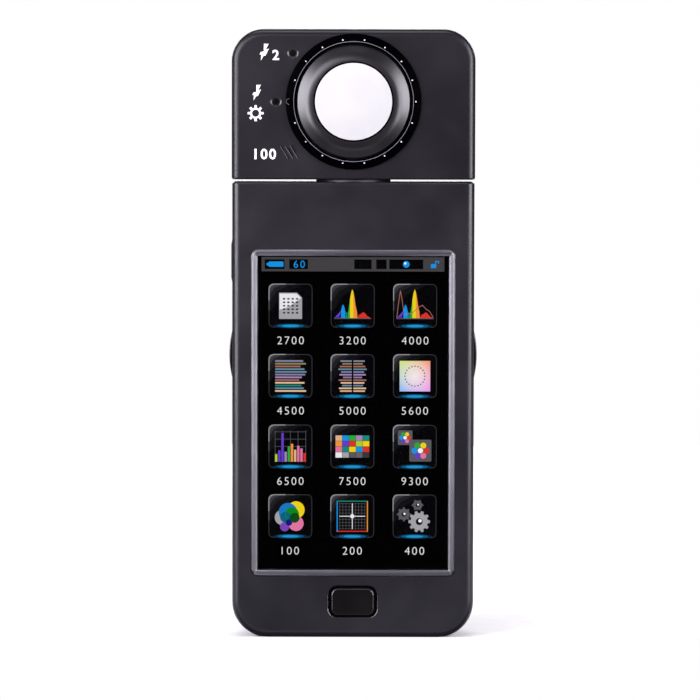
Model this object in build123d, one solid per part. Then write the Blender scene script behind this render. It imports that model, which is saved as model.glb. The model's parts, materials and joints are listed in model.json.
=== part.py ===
from build123d import *
import math
import os

# Hand-held spectrometer with a turning receptor head.
# Millimetres. Origin at the centre of the bottom face, +Z up the body.
# The screen faces -Y and +X is to the right of someone reading it.

# Overall sizes
overall_height = 183.0
head_height = 45.0
head_width = 73.0
body_narrower = 0.3
swivel_gap = 0.8
wall = 1.8
rear_shell_depth = 6.5
base_corner_radius = 10.8
crown_corner_radius = 9.6
front_edge_radius = 2.2
rear_edge_radius = 3.0
gap_edge_radius = 0.6
cut_over = 1.0
slip = 0.15
running = 0.05

head_base = overall_height - head_height
body_height = head_base - swivel_gap
body_width = head_width - body_narrower
body_half = body_width / 2
head_half = head_width / 2

# Screen, from the bezel inwards
screen_side_margin = 5.75
screen_top_margin = 20.2
bezel_rim = 1.8
bezel_base = 18.7
bezel_proud = 0.35
bezel_depth = 1.4
bezel_corner = 2.0
bezel_ledge = 1.3
glass_sunk = 0.1
glass_thickness = 1.2
glass_play = 0.1
display_thickness = 2.8
display_play = 0.8
chassis_thickness = 1.0
chassis_side_inset = 0.6
chassis_ear = 4.4
chassis_corner = 2.0
chassis_low_ear = 22.9
chassis_high_ear_drop = 37.7
window_frame = 1.0
window_frame_depth = 1.2
post_radius = 2.0
screw_radius = 0.8
screw_play = 0.05
screw_head_radius = 1.6
screw_head_height = 1.1

bezel_width = body_width - 2 * screen_side_margin
bezel_height = body_height - bezel_base - screen_top_margin
screen_middle = bezel_base + bezel_height / 2
chassis_width = bezel_width - 2 * chassis_side_inset

# Cells and their bay
cell_radius = 7.1
cell_length = 49.2
cell_nub_radius = 2.7
cell_nub = 1.3
cell_play = 0.3
cell_back_play = 0.4
cell_base = 14.0
tray_wall = 1.2
contact_thickness = 0.4
door_base = 9.0
door_half = 18.5
door_pin_radius = 0.6
door_knuckle_radius = 1.3
door_knuckle_half = 12.5
door_ear_width = 3.0
door_pin_set = 2.5
door_above_tray = 2.9
door_shoulder_drop = 4.0
door_ear_play = 0.6
door_thumb_radius = 5.5
door_thumb_depth = 0.8
door_thumb_rise = 8.5
door_groove_pitch = 2.2
door_groove_count = 4
door_groove_radius = 0.4
door_groove_half = 6.0
door_corner = 1.5
door_pad = 0.3

# The case is as deep as the screen, its plate and a cell need
screen_stack = glass_sunk + glass_thickness + display_thickness + chassis_thickness
cell_stack = tray_wall + cell_play + 2 * cell_radius + cell_back_play
case_depth = screen_stack + cell_stack + wall
half_depth = case_depth / 2
inner_depth = half_depth - wall
seam_behind_axis = half_depth - rear_shell_depth
ledge_y = -half_depth + bezel_depth
glass_front = -half_depth + glass_sunk
display_front = glass_front + glass_thickness
chassis_front = display_front + display_thickness
chassis_back = chassis_front + chassis_thickness

cell_x = cell_radius + cell_play + tray_wall / 4
tray_front = chassis_back
cell_y = tray_front + tray_wall + cell_play + cell_radius
tray_half = cell_x + cell_radius + cell_play + tray_wall
cell_top = cell_base + cell_length + cell_nub
tray_top = cell_top + contact_thickness + tray_wall
door_top = tray_top + door_above_tray
door_pin_y = half_depth - door_knuckle_radius
door_pin_z = door_top - door_knuckle_radius
door_shoulder_z = door_top - door_shoulder_drop

# Main board and the key boards
board_thickness = 1.0
board_standoff = 1.5
board_side_inset = 3.6
board_above_tray = 7.9
board_top_drop = 21.2
board_hole_inset = 3.5
standoff_radius = 1.7
board_part_height = 2.0
# Middle across, middle up, width, height and thickness of each part on the board
board_part_shares = [
    (-0.16, 0.72, 0.26, 0.33, 0.60),
    (0.16, 0.78, 0.15, 0.24, 0.45),
    (0.16, 0.50, 0.15, 0.22, 0.45),
    (-0.18, 0.30, 0.36, 0.30, 1.00),
    (0.30, 0.24, 0.18, 0.14, 0.90),
]

board_width = bezel_width - 2 * board_side_inset
board_base = tray_top + board_above_tray
board_height = body_height - board_base - board_top_drop

# Menu key under the screen
menu_below_screen = 7.75
menu_width = 13.0
menu_height = 8.2
menu_corner = 2.0
menu_well_width = 14.9
menu_well_height = 9.8
menu_well_corner = 2.8
menu_well_depth = 0.9
menu_proud = 0.4
menu_travel = 0.5
menu_flange_rim = 0.9
menu_flange = 0.6
menu_edge_radius = 0.3
menu_post_x = 12.0
menu_post_radius = 1.2
menu_board_width = 30.0
menu_board_height = 8.0
menu_board_thickness = 0.6
dome_radius = 2.5
dome_height = 0.5

menu_z = bezel_base - menu_below_screen

# Side keys
side_key_y = -1.0
measure_drop = 52.0
measure_length = 15.5
measure_depth = 6.4
measure_proud = 1.0
measure_travel = 0.7
power_drop = 23.9
power_length = 14.4
power_depth = 5.2
power_proud = 0.45
memory_length = 10.0
memory_proud = 0.1
small_travel = 0.4
key_shoulder = 0.9
key_flange = 0.8
key_edge_radius = 0.3
key_board_thickness = 0.8
key_board_margin = 2.5
key_rail = 1.2
key_rail_gap = 0.3
key_ramp = 2.2

measure_z = body_height - measure_drop
power_z = body_height - power_drop

# Port cover and what it hides, on the right side
cover_base = 22.5
cover_height = 23.5
cover_front = -6.0
cover_back = 3.0
cover_thickness = 1.1
cover_nail_depth = 0.5
cover_nail_length = 6.0
cover_nail_reach = 1.0
port_board_gap = 3.7
port_board_base = 31.5
port_board_height = 16.0
usb_z = 39.5
usb_width = 7.6
usb_height = 2.9
usb_length = 5.5
usb_wall = 0.35
usb_tongue = 0.8
sync_y = -1.5
sync_z = 28.3
sync_radius = 3.4
sync_bore = 1.9
sync_pin_radius = 0.5
sync_length = 6.0
sync_nut_radius = 4.2
sync_nut = 1.2
port_board_edge = 0.4

# Tripod insert and strap bar on the back
tripod_above_door = 15.0
tripod_radius = 3.175
tripod_depth = 6.5
insert_radius = 5.0
insert_floor = 1.0
insert_groove = 0.4
insert_groove_width = 1.2
insert_boss_wall = 1.6
strap_side_inset = 6.3
strap_z = 17.0
strap_pocket_width = 6.0
strap_pocket_height = 9.0
strap_pocket_depth = 5.0
strap_bar_radius = 0.9
strap_bar_set = 1.2
strap_pocket_wall = 1.0
strap_x = body_half - strap_side_inset
tripod_z = door_top + tripod_above_door

# Case screws, from the back
case_screw_radius = 1.0
case_screw_head_radius = 1.9
case_screw_head_height = 1.3
case_boss_radius = 2.6
case_screw_sink = 0.3
case_screw_bite = 5.0
body_low_screw_inset = 8.35
body_low_screw_z = 7.0
body_high_screw_inset = 5.35
body_high_screw_drop = 11.2
head_screw_inset = 7.0
cross_share = 0.3

# Swivel between body and head
neck_inset = 0.25
neck_play = 0.1
top_wall = 4.0
swivel_radius = 7.0
swivel_bore = 5.0
bush_radius = 8.6
bush_drop = 0.4
washer_thickness = 0.5
washer_radius = 8.4
clip_radius = 8.2
clip_groove_depth = 0.6
clip_thickness = 0.8
clip_mouth = 4.0
swivel_play = 0.2
swivel_tail = 3.4
stop_pin_radius = 0.8
swivel_wall_play = 0.3
stop_block_width = 11.0
stop_block_turn = 135.0
stop_block_inner = 8.7
stop_block_outer = 12.4
swivel_flange = 1.4

neck_radius = half_depth - neck_inset
stop_pin_reach = inner_depth - swivel_wall_play
swivel_flange_radius = inner_depth - swivel_wall_play

# Receptor on the head
receptor_drop = 21.7
diffuser_radius = 11.5
diffuser_proud = 4.0
diffuser_edge_proud = 3.4
diffuser_seat_proud = 2.4
seal_width = 0.5
seal_height = 0.6
cone_proud = 3.2
cone_radius = 16.75
cone_rim_proud = 1.5
cup_floor_set = 1.5
cup_floor = 1.2
cup_bore = 10.6
hub_radius = 3.5
hub_screw_radius = 1.0
hub_screw_head_radius = 1.9
hub_screw_head = 1.1
ring_bore = 17.4
ring_proud = 1.9
ring_front_radius = 18.1
ring_skirt_radius = 20.3
ring_skirt_edge = 0.35
ring_case_play = 0.25
sleeve_radius = 18.0
sleeve_play = 0.2
rib_count = 18
rib_width = 1.3
rib_proud = 0.45
pointer_radius = 1.15
pointer_reach = 19.3
wheel_thickness = 1.2
wheel_radius = 19.4
wheel_play = 0.2
position_step = 38.5
window_offset = 6.0
window_radius = 1.6
notch_radius = 0.7
dial_radius = 23.2
dimple_radius = 1.6
dimple_depth = 0.35
zero_mark_side = 2.2

receptor_z = overall_height - receptor_drop
diffuser_front = half_depth + diffuser_proud
diffuser_edge = half_depth + diffuser_edge_proud
diffuser_seat = half_depth + diffuser_seat_proud
cone_front = half_depth + cone_proud
cone_rim = half_depth + cone_rim_proud
ring_front = half_depth + ring_proud
cup_floor_back = inner_depth - cup_floor_set

# Optics behind the filter wheel
block_width = 26.0
block_height = 24.0
block_front_play = 0.2
block_plate = 2.0
block_depth = 11.0
block_corner = 1.5
block_cover_thickness = 0.8
block_lug_radius = 2.4
lug_x = 23.5
lug_rise = 5.0
hub_boss = 3.0
pipe_radius = 1.6
chamber_wall = 2.0
mirror_side = 6.0
mirror_thickness = 1.0
slit_drop = 4.5
slit_thickness = 0.3
slit_width = 0.3
slit_length = 3.0
grating_side = 7.0
grating_thickness = 1.5
sensor_length = 7.0
sensor_height = 2.0
sensor_thickness = 1.5
sensor_board_thickness = 1.0
sensor_board_edge = 0.2
detent_thickness = 0.3
detent_post_radius = 1.6
detent_width = 3.0
detent_length = 22.0
detent_nib_radius = 0.8
detent_gap = 0.3

cup_radius = cone_radius
wheel_front = cup_floor_back - wheel_play
wheel_back = wheel_front - wheel_thickness
block_front = wheel_back - block_front_play


def facing(y):
    """A plane across the object at one depth, seen from the front."""
    return Plane(origin=(0, y, 0), x_dir=(1, 0, 0), z_dir=(0, -1, 0))


def slab(outline, y_front, y_back):
    """An outline in width and height, thick from one depth to another."""
    return extrude(facing(y_back) * outline, amount=y_back - y_front)


def sideways(outline, x_low, x_high):
    """An outline in depth and height, thick from one side to the other."""
    plane = Plane(origin=(x_low, 0, 0), x_dir=(0, 1, 0), z_dir=(1, 0, 0))
    return extrude(plane * outline, amount=x_high - x_low)


def panel(across, up, width, height, corner=0):
    """A rectangle placed by its middle, with round corners if asked."""
    shape = RectangleRounded(width, height, corner) if corner else Rectangle(width, height)
    return Pos(across, up) * shape


def rod(x, z, radius, y_front, y_back):
    """A round bar along the depth."""
    return slab(Pos(x, z) * Circle(radius), y_front, y_back)


def bar(y, z, radius, x_low, x_high):
    """A round bar along the width."""
    return sideways(Pos(y, z) * Circle(radius), x_low, x_high)


def post(x, y, radius, z_low, z_high):
    """A round bar along the height."""
    return Pos(x, y, z_low) * extrude(Circle(radius), amount=z_high - z_low)


def block(low, high):
    """A box from its low corner to its high one."""
    sizes = [top - bottom for bottom, top in zip(low, high)]
    return Pos(*low) * Box(*sizes, align=(Align.MIN, Align.MIN, Align.MIN))


def turned(points):
    """A piece turned about the receptor's axis, from radii and reaches forward."""
    outline = make_face(Polyline(*[(radius, -reach) for radius, reach in points], close=True))
    return revolve(Pos(0, 0, receptor_z) * outline, Axis((0, 0, receptor_z), (0, 1, 0)))


def spun(points):
    """A piece turned about the swivel's axis, from radii and heights."""
    outline = make_face(Polyline(*[(radius, 0, height) for radius, height in points], close=True))
    return revolve(outline, Axis.Z)


def case_outline(half, gap_z, far_z, corner):
    """A rectangle whose two corners away from the gap are round."""
    corners = [(-half, gap_z), (-half, far_z), (half, far_z), (half, gap_z)]
    outline = make_face(Polyline(*corners, close=True))
    far_corners = outline.vertices().sort_by(lambda v: abs(v.Y - far_z))[:2]
    return fillet(far_corners, corner)


def case_form(half, gap_z, far_z, corner):
    """The outer form of the body or head, rounded everywhere but at the gap."""
    form = slab(case_outline(half, gap_z, far_z, corner), -half_depth, half_depth)
    for face_at, radius in ((0, front_edge_radius), (-1, rear_edge_radius)):
        edges = form.faces().sort_by(Axis.Y)[face_at].edges()
        form = fillet(edges.sort_by(lambda e: abs(e.center().Z - gap_z))[1:], radius)
    gap_face = form.faces().sort_by(lambda f: abs(f.center().Z - gap_z))[0]
    return fillet(gap_face.edges(), gap_edge_radius)


def case_room(half, gap_z, far_z, corner, gap_wall):
    """The space inside the body or head."""
    inward = 1 if far_z > gap_z else -1
    outline = case_outline(half - wall, gap_z + inward * gap_wall, far_z - inward * wall, corner - wall)
    return slab(outline, -inner_depth, inner_depth)


def front_part(solid):
    """What lies in front of the seam."""
    return solid & block((-head_width, -case_depth, -cut_over),
                         (head_width, seam_behind_axis, overall_height + cut_over))


def rear_part(solid):
    """What lies behind the seam."""
    return solid & block((-head_width, seam_behind_axis, -cut_over),
                         (head_width, case_depth, overall_height + cut_over))


def mirrored(places):
    """Each place and its twin on the left."""
    return [(side * x, z) for x, z in places for side in (1, -1)]


def boss_set(places, radius, y_front, y_back):
    """A round boss at each place."""
    return [rod(x, z, radius, y_front, y_back) for x, z in places]


def screw_set(places, radius, head_radius, head_height, head_y, tip_y):
    """Pan head screws driven from the back."""
    return Compound(children=[rod(x, z, head_radius, head_y, head_y + head_height)
                              + rod(x, z, radius, tip_y, head_y) for x, z in places])


def crossed(screws, places, head_radius, head_height, head_y):
    """Screws that show, with a cross recess in each head."""
    arm = cross_share * head_radius
    for x, z in places:
        cross = panel(x, z, head_radius, arm) + panel(x, z, arm, head_radius)
        screws = screws - slab(cross, head_y + head_height / 2, head_y + head_height + cut_over)
    return screws


def keep(name, shape):
    """Writes one piece under its name."""
    solids = shape.solids()
    whole = solids[0] if len(solids) == 1 else Compound(children=list(solids))
    whole.label = name
    export_step(whole, f"parts/{name}.step")


# Places shared by several pieces
post_x = body_half - wall - post_radius
chassis_places = mirrored([(post_x, chassis_low_ear), (post_x, body_height - chassis_high_ear_drop)])
body_screw_places = mirrored([(body_half - body_low_screw_inset, body_low_screw_z),
                              (body_half - body_high_screw_inset, body_height - body_high_screw_drop)])
head_screw_x = head_half - head_screw_inset
head_screw_places = mirrored([(head_screw_x, head_base + head_screw_inset),
                              (head_screw_x, overall_height - head_screw_inset)])
menu_flange_front = -inner_depth + running
menu_flange_back = menu_flange_front + menu_flange
menu_board_front = menu_flange_back + menu_travel + running + dome_height
flange_outer = body_half - wall - running
flange_inner = flange_outer - key_flange
board_back = chassis_back + board_standoff + board_thickness
usb_y = board_back + usb_height / 2

side_keys = {
    "left_measure_button": (-1, measure_z, measure_length, measure_depth, measure_proud, measure_travel),
    "right_measure_button": (1, measure_z, measure_length, measure_depth, measure_proud, measure_travel),
    "power_button": (-1, power_z, power_length, power_depth, power_proud, small_travel),
    "memory_button": (1, power_z, memory_length, power_depth, memory_proud, small_travel),
}


def on_side(side, outline, inner_x, outer_x):
    """An outline in depth and height between two distances from the middle."""
    if side > 0:
        return sideways(outline, inner_x, outer_x)
    return sideways(outline, -outer_x, -inner_x)


def key_opening(side, z, length, depth):
    """The hole in a side wall that a key passes through."""
    outline = panel(side_key_y, z, depth + 2 * slip, length + 2 * slip)
    return on_side(side, outline, body_half - wall - cut_over, body_half + cut_over)


def key_board_face(travel):
    """How far from the middle the outer face of a side key's board lies."""
    return flange_inner - travel - running - dome_height


def key_rails(side, z, length, depth, travel):
    """Two rails on the side wall that the key's board sits on."""
    offset = length / 2 + key_shoulder + key_rail_gap + key_rail / 2
    rails = [panel(side_key_y, z + end * offset, depth, key_rail) for end in (1, -1)]
    return [on_side(side, rail, key_board_face(travel), body_half - wall) for rail in rails]


def side_key(side, z, length, depth, proud, travel):
    """A key whose cap stands in the side wall, with a flange that holds it in."""
    face = side * body_half
    root = side * flange_inner
    if proud > power_proud:
        top = ThreePointArc((face, z - length / 2), (face + side * proud, z), (face, z + length / 2))
    else:
        ramp = min(key_ramp, length / 4)
        top = Polyline((face, z - length / 2), (face + side * proud, z - length / 2 + ramp),
                       (face + side * proud, z + length / 2 - ramp), (face, z + length / 2))
    sides = Polyline((face, z - length / 2), (root, z - length / 2),
                     (root, z + length / 2), (face, z + length / 2))
    cap = slab(make_face(top + sides), side_key_y - depth / 2, side_key_y + depth / 2)
    flange = panel(side_key_y, z, depth + 2 * key_shoulder, length + 2 * key_shoulder)
    crown = cap.edges().filter_by(GeomType.CIRCLE)
    if crown:
        cap = fillet(crown, key_edge_radius)
    return cap + on_side(side, flange, flange_inner, flange_outer)


def key_boards():
    """The small boards behind the side keys."""
    boards = []
    for side, z, length, depth, _, travel in side_keys.values():
        outer = key_board_face(travel)
        outline = panel(side_key_y, z, depth, length + 2 * key_board_margin)
        boards.append(on_side(side, outline, outer - key_board_thickness, outer))
    return Compound(children=boards)


def key_domes():
    """The snap domes that the side keys press."""
    domes = []
    for side, z, _, _, _, travel in side_keys.values():
        outer = key_board_face(travel)
        dome = on_side(side, Pos(side_key_y, z) * Circle(dome_radius), outer, outer + dome_height)
        rim = dome.faces().sort_by(Axis.X)[-1 if side > 0 else 0].edges()
        domes.append(chamfer(rim, dome_height / 2))
    return Compound(children=domes)


def front_case():
    """The deep front shell of the body."""
    shell = front_part(case_form(body_half, body_height, 0, base_corner_radius)
                       - case_room(body_half, body_height, 0, base_corner_radius, top_wall))
    rebate = panel(0, screen_middle, bezel_width + 2 * slip, bezel_height + 2 * slip, bezel_corner + slip)
    window_width = bezel_width - 2 * bezel_ledge
    window_height = bezel_height - 2 * bezel_ledge
    window = panel(0, screen_middle, window_width, window_height)
    frame = panel(0, screen_middle, window_width + 2 * window_frame, window_height + 2 * window_frame)
    shell += slab(frame, -inner_depth, -inner_depth + window_frame_depth)
    shell -= slab(rebate, -half_depth - cut_over, ledge_y)
    shell -= slab(window, -half_depth, -inner_depth + window_frame_depth + cut_over)

    well = panel(0, menu_z, menu_well_width, menu_well_height, menu_well_corner)
    shell -= slab(well, -half_depth - cut_over, -half_depth + menu_well_depth)
    hole = panel(0, menu_z, menu_width + 2 * slip, menu_height + 2 * slip, menu_corner + slip)
    shell -= slab(hole, -half_depth, -inner_depth + cut_over)
    shell += boss_set(mirrored([(menu_post_x, menu_z)]), menu_post_radius, -inner_depth, menu_board_front)

    shell += boss_set(chassis_places, post_radius, -inner_depth, chassis_front)
    shell -= boss_set(chassis_places, screw_radius + screw_play, -inner_depth, chassis_front + cut_over)
    shell += boss_set(body_screw_places, case_boss_radius, -inner_depth, seam_behind_axis)
    bite = seam_behind_axis - case_screw_bite - cut_over
    shell -= boss_set(body_screw_places, case_screw_radius + screw_play, bite, seam_behind_axis + cut_over)

    for side, z, length, depth, _, travel in side_keys.values():
        shell += key_rails(side, z, length, depth, travel)
        shell -= key_opening(side, z, length, depth)
    shell -= post(0, 0, bush_radius, body_height - top_wall - cut_over, body_height + cut_over)
    return shell - port_recess()


def port_recess():
    """The recess for the port cover and the holes for the sockets behind it."""
    middle_z = cover_base + cover_height / 2
    middle_y = (cover_front + cover_back) / 2
    recess = panel(middle_y, middle_z, cover_back - cover_front + 2 * slip, cover_height + 2 * slip)
    cut = sideways(recess, body_half - cover_thickness, body_half + cut_over)
    mouth = panel(usb_y, usb_z, usb_height - 2 * usb_wall, usb_width - 2 * usb_wall)
    cut += sideways(mouth, body_half - wall - cut_over, body_half)
    return cut + bar(sync_y, sync_z, sync_radius, body_half - wall - cut_over, body_half)


def port_cover():
    """The rubber cover, with a groove for a finger nail at its free edge."""
    middle_z = cover_base + cover_height / 2
    middle_y = (cover_front + cover_back) / 2
    plate = sideways(panel(middle_y, middle_z, cover_back - cover_front, cover_height),
                     body_half - cover_thickness + running, body_half)
    nail = panel(cover_front, middle_z, 2 * cover_nail_reach, cover_nail_length)
    return plate - sideways(nail, body_half - cover_nail_depth, body_half + cut_over)


def rear_case():
    """The shallow rear shell of the body, with the battery bay's opening."""
    shell = rear_part(case_form(body_half, body_height, 0, base_corner_radius)
                      - case_room(body_half, body_height, 0, base_corner_radius, top_wall))
    shell += boss_set(body_screw_places, case_boss_radius, seam_behind_axis, inner_depth)
    sink = half_depth - case_screw_sink - case_screw_head_height
    shell -= boss_set(body_screw_places, case_screw_head_radius + slip, sink, half_depth + cut_over)
    shell -= boss_set(body_screw_places, case_screw_radius + screw_play, seam_behind_axis - cut_over, sink)

    ear_base = door_pin_z - door_knuckle_radius
    ear_top = door_top + slip + tray_wall
    for side in (1, -1):
        reach = sorted((side * door_knuckle_half, side * (door_knuckle_half + door_ear_width)))
        shell += block((reach[0], door_pin_y - door_knuckle_radius, ear_base),
                       (reach[1], inner_depth, ear_top))
    shell -= door_opening()
    pin_reach = door_knuckle_half + door_pin_set
    shell -= bar(door_pin_y, door_pin_z, door_pin_radius, -pin_reach, pin_reach)

    shell += rod(0, tripod_z, insert_radius + insert_boss_wall, seam_behind_axis, inner_depth)
    shell -= rod(0, tripod_z, insert_radius, seam_behind_axis - cut_over, half_depth + cut_over)
    shell -= post(0, 0, bush_radius, body_height - top_wall - cut_over, body_height + cut_over)
    return shell + stop_block() + strap_pocket(strap_pocket_wall) - strap_pocket(0) - strap_pin()


def stop_block():
    """The block under the body's top wall that the stop pin meets."""
    arm = block((stop_block_inner, -stop_block_width / 2, tube_base),
                (stop_block_outer, stop_block_width / 2, body_height - top_wall))
    room = block((-head_half, -half_depth, tube_base), (head_half, inner_depth, body_height))
    return Rot(0, 0, stop_block_turn) * arm & room


def strap_pocket(around):
    """The pocket for a strap, or the walls around it."""
    outline = panel(strap_x, strap_z, strap_pocket_width + 2 * around, strap_pocket_height + 2 * around)
    back = inner_depth if around else half_depth + cut_over
    return slab(outline, half_depth - strap_pocket_depth - around, back)


def strap_pin():
    """The pin that a strap is looped round."""
    reach = strap_pocket_width / 2 + strap_pocket_wall
    y = half_depth - strap_bar_set - strap_bar_radius
    return bar(y, strap_z, strap_bar_radius, strap_x - reach, strap_x + reach)


def door_opening():
    """The opening for the battery door, narrower where its knuckle turns."""
    middle = (door_base + door_shoulder_z + door_ear_play) / 2
    wide = panel(0, middle, 2 * door_half, door_shoulder_z + door_ear_play - door_base, door_corner)
    narrow = panel(0, (middle + door_top + slip) / 2, 2 * door_knuckle_half, door_top + slip - middle)
    return slab(wide + narrow, inner_depth - wall, half_depth + cut_over)


def battery_door():
    """The door over the cells, with its knuckle, thumb hollow and grip grooves."""
    low = door_base + slip
    middle = (low + door_shoulder_z) / 2
    wide = panel(0, middle, 2 * (door_half - slip), door_shoulder_z - low, door_corner - slip)
    narrow = panel(0, (middle + door_pin_z) / 2, 2 * (door_knuckle_half - slip), door_pin_z - middle)
    reach = door_knuckle_half - slip
    door = slab(wide + narrow, inner_depth, half_depth)
    door += bar(door_pin_y, door_pin_z, door_knuckle_radius, -reach, reach)
    door -= bar(door_pin_y, door_pin_z, door_pin_radius + running, -door_half, door_half)
    thumb_z = door_base + door_thumb_rise
    ball = (door_thumb_radius ** 2 + door_thumb_depth ** 2) / (2 * door_thumb_depth)
    door -= Pos(0, half_depth + ball - door_thumb_depth, thumb_z) * Sphere(ball)
    for index in range(door_groove_count):
        groove_z = thumb_z + door_thumb_radius + (index + 1) * door_groove_pitch
        door -= bar(half_depth, groove_z, door_groove_radius, -door_groove_half, door_groove_half)
    return door


def hinge_pin():
    """The pin that the battery door turns on."""
    reach = door_knuckle_half + door_pin_set
    return bar(door_pin_y, door_pin_z, door_pin_radius, -reach, reach)


def battery_tray():
    """The open box that holds both cells side by side."""
    tray = block((-tray_half, tray_front, cell_base - contact_thickness - tray_wall),
                 (tray_half, inner_depth - door_pad, tray_top))
    tray -= block((tray_wall - tray_half, tray_front + tray_wall, cell_base - contact_thickness),
                  (tray_half - tray_wall, half_depth, cell_top + contact_thickness))
    rib = cell_x - cell_radius - cell_play
    return tray + block((-rib, tray_front, cell_base), (rib, cell_y - cell_radius / 2, cell_top))


def cell(side, nub_up):
    """A round cell standing in the tray, with its nub at one end."""
    foot = cell_base if nub_up else cell_base + cell_nub
    body = post(side * cell_x, cell_y, cell_radius, foot, foot + cell_length)
    body = chamfer(body.edges().filter_by(GeomType.CIRCLE), cell_play)
    nub_foot = foot + cell_length if nub_up else cell_base
    return body + post(side * cell_x, cell_y, cell_nub_radius, nub_foot, nub_foot + cell_nub)


def end_contacts():
    """The two sprung plates above the cells and the bridge below them."""
    plates = []
    for side in (1, -1):
        low = (side * cell_x - cell_radius / 2, cell_y - cell_radius / 2, cell_top)
        high = (side * cell_x + cell_radius / 2, cell_y + cell_radius / 2, cell_top + contact_thickness)
        plates.append(block(low, high))
    plates.append(block((-cell_x - cell_radius / 2, cell_y - cell_radius / 2, cell_base - contact_thickness),
                        (cell_x + cell_radius / 2, cell_y + cell_radius / 2, cell_base)))
    return Compound(children=plates)


def screen_bezel():
    """The frame round the glass, bevelled on both rims."""
    outer = panel(0, screen_middle, bezel_width, bezel_height, bezel_corner)
    inner = panel(0, screen_middle, bezel_width - 2 * bezel_rim, bezel_height - 2 * bezel_rim)
    frame = slab(outer - inner, -half_depth - bezel_proud, ledge_y)
    return chamfer(frame.faces().sort_by(Axis.Y)[0].edges(), bezel_proud)


def cover_glass():
    """The glass over the display."""
    width = bezel_width - 2 * bezel_rim - 2 * glass_play
    height = bezel_height - 2 * bezel_rim - 2 * glass_play
    return slab(panel(0, screen_middle, width, height), glass_front, display_front)


def display_panel():
    """The display, behind the glass."""
    width = bezel_width - 2 * bezel_ledge - 2 * display_play
    height = bezel_height - 2 * bezel_ledge - 2 * display_play
    return slab(panel(0, screen_middle, width, height), display_front, chassis_front)


def chassis_plate():
    """The plate that carries the display and the boards, screwed to the front case."""
    shape = panel(0, screen_middle, chassis_width, bezel_height, chassis_corner)
    for x, z in chassis_places:
        side = 1 if x > 0 else -1
        shape += panel(x - side * (chassis_ear - post_radius + slip), z, 2 * chassis_ear, chassis_ear)
    plate = slab(shape, chassis_front, chassis_back)
    plate -= boss_set(chassis_places, screw_radius + screw_play, chassis_front - cut_over,
                      chassis_back + cut_over)
    plate += boss_set(board_places(), standoff_radius, chassis_back, board_back - board_thickness)
    plate += boss_set(port_places(), standoff_radius, chassis_back, board_back - board_thickness)
    hole = screw_radius + screw_play
    return plate - boss_set(board_places() + port_places(), hole, chassis_back, board_back)


def board_places():
    """Where the main board is screwed down."""
    x = board_width / 2 - board_hole_inset
    return mirrored([(x, board_base + board_hole_inset), (x, board_base + board_height - board_hole_inset)])


def port_places():
    """Where the port board is screwed down."""
    x = tray_half + port_board_gap + standoff_radius + port_board_edge
    return [(x, port_board_base + end * port_board_height + (1 - 2 * end) * (standoff_radius + port_board_edge))
            for end in (0, 1)]


def board(outline, places):
    """A circuit board with holes for its screws."""
    plate = slab(outline, board_back - board_thickness, board_back)
    return plate - boss_set(places, screw_radius + screw_play, board_back - 2 * board_thickness,
                            board_back + board_thickness)


def main_board():
    """The main circuit board."""
    return board(panel(0, board_base + board_height / 2, board_width, board_height, chassis_corner),
                 board_places())


def port_board():
    """The small board that carries the data socket."""
    left = tray_half + port_board_gap
    right = flange_inner - port_board_edge
    outline = panel((left + right) / 2, port_board_base + port_board_height / 2,
                    right - left, port_board_height)
    return board(outline, port_places())


def board_parts():
    """The larger parts on the main board: processor, memory, shield and connectors."""
    parts = []
    for x_share, z_share, width_share, height_share, tall_share in board_part_shares:
        outline = panel(x_share * board_width, board_base + z_share * board_height,
                        width_share * board_width, height_share * board_height)
        parts.append(slab(outline, board_back, board_back + tall_share * board_part_height))
    return Compound(children=parts)


def menu_button():
    """The menu key, held behind the front wall by its flange."""
    cap = slab(panel(0, menu_z, menu_width, menu_height, menu_corner),
               -half_depth - menu_proud, menu_flange_front)
    cap = fillet(cap.faces().sort_by(Axis.Y)[0].edges(), menu_edge_radius)
    flange = panel(0, menu_z, menu_width + 2 * menu_flange_rim, menu_height + 2 * menu_flange_rim,
                   menu_corner)
    return cap + slab(flange, menu_flange_front, menu_flange_back)


def menu_board():
    """The small board behind the menu key, with its snap dome."""
    outline = panel(0, menu_z, menu_board_width, menu_board_height)
    plate = slab(outline, menu_board_front, menu_board_front + menu_board_thickness)
    return plate + rod(0, menu_z, dome_radius, menu_board_front - dome_height, menu_board_front)


def data_socket():
    """The data socket's metal shell and tongue."""
    outer = panel(usb_y, usb_z, usb_height, usb_width)
    mouth = panel(usb_y, usb_z, usb_height - 2 * usb_wall, usb_width - 2 * usb_wall)
    tongue = panel(usb_y, usb_z, usb_tongue, usb_width / 2)
    inner_x = body_half - wall - usb_length
    shell = sideways(outer, inner_x, body_half - wall)
    shell -= sideways(mouth, inner_x + usb_wall, body_half)
    return shell + sideways(tongue, inner_x, body_half - wall - usb_wall)


def sync_socket():
    """The round flash socket, held in the side wall by its nut."""
    socket = bar(sync_y, sync_z, sync_radius, body_half - wall - sync_length, body_half - cover_thickness)
    socket -= bar(sync_y, sync_z, sync_radius - usb_wall, body_half - wall, body_half)
    socket -= bar(sync_y, sync_z, sync_bore, body_half - wall - sync_length / 2, body_half)
    socket += bar(sync_y, sync_z, sync_nut_radius, body_half - wall - sync_nut, body_half - wall)
    return socket + bar(sync_y, sync_z, sync_pin_radius, body_half - wall - sync_length, body_half - wall)


def tripod_insert():
    """The brass insert for a tripod screw, with a groove that keys it in its boss."""
    length = tripod_depth + insert_floor
    insert = rod(0, tripod_z, insert_radius, half_depth - length, half_depth)
    insert -= rod(0, tripod_z, tripod_radius, half_depth - tripod_depth, half_depth + cut_over)
    groove = rod(0, tripod_z, insert_radius + cut_over, inner_depth - insert_groove_width, inner_depth)
    groove -= rod(0, tripod_z, insert_radius - insert_groove, seam_behind_axis, half_depth)
    return insert - groove


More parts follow.
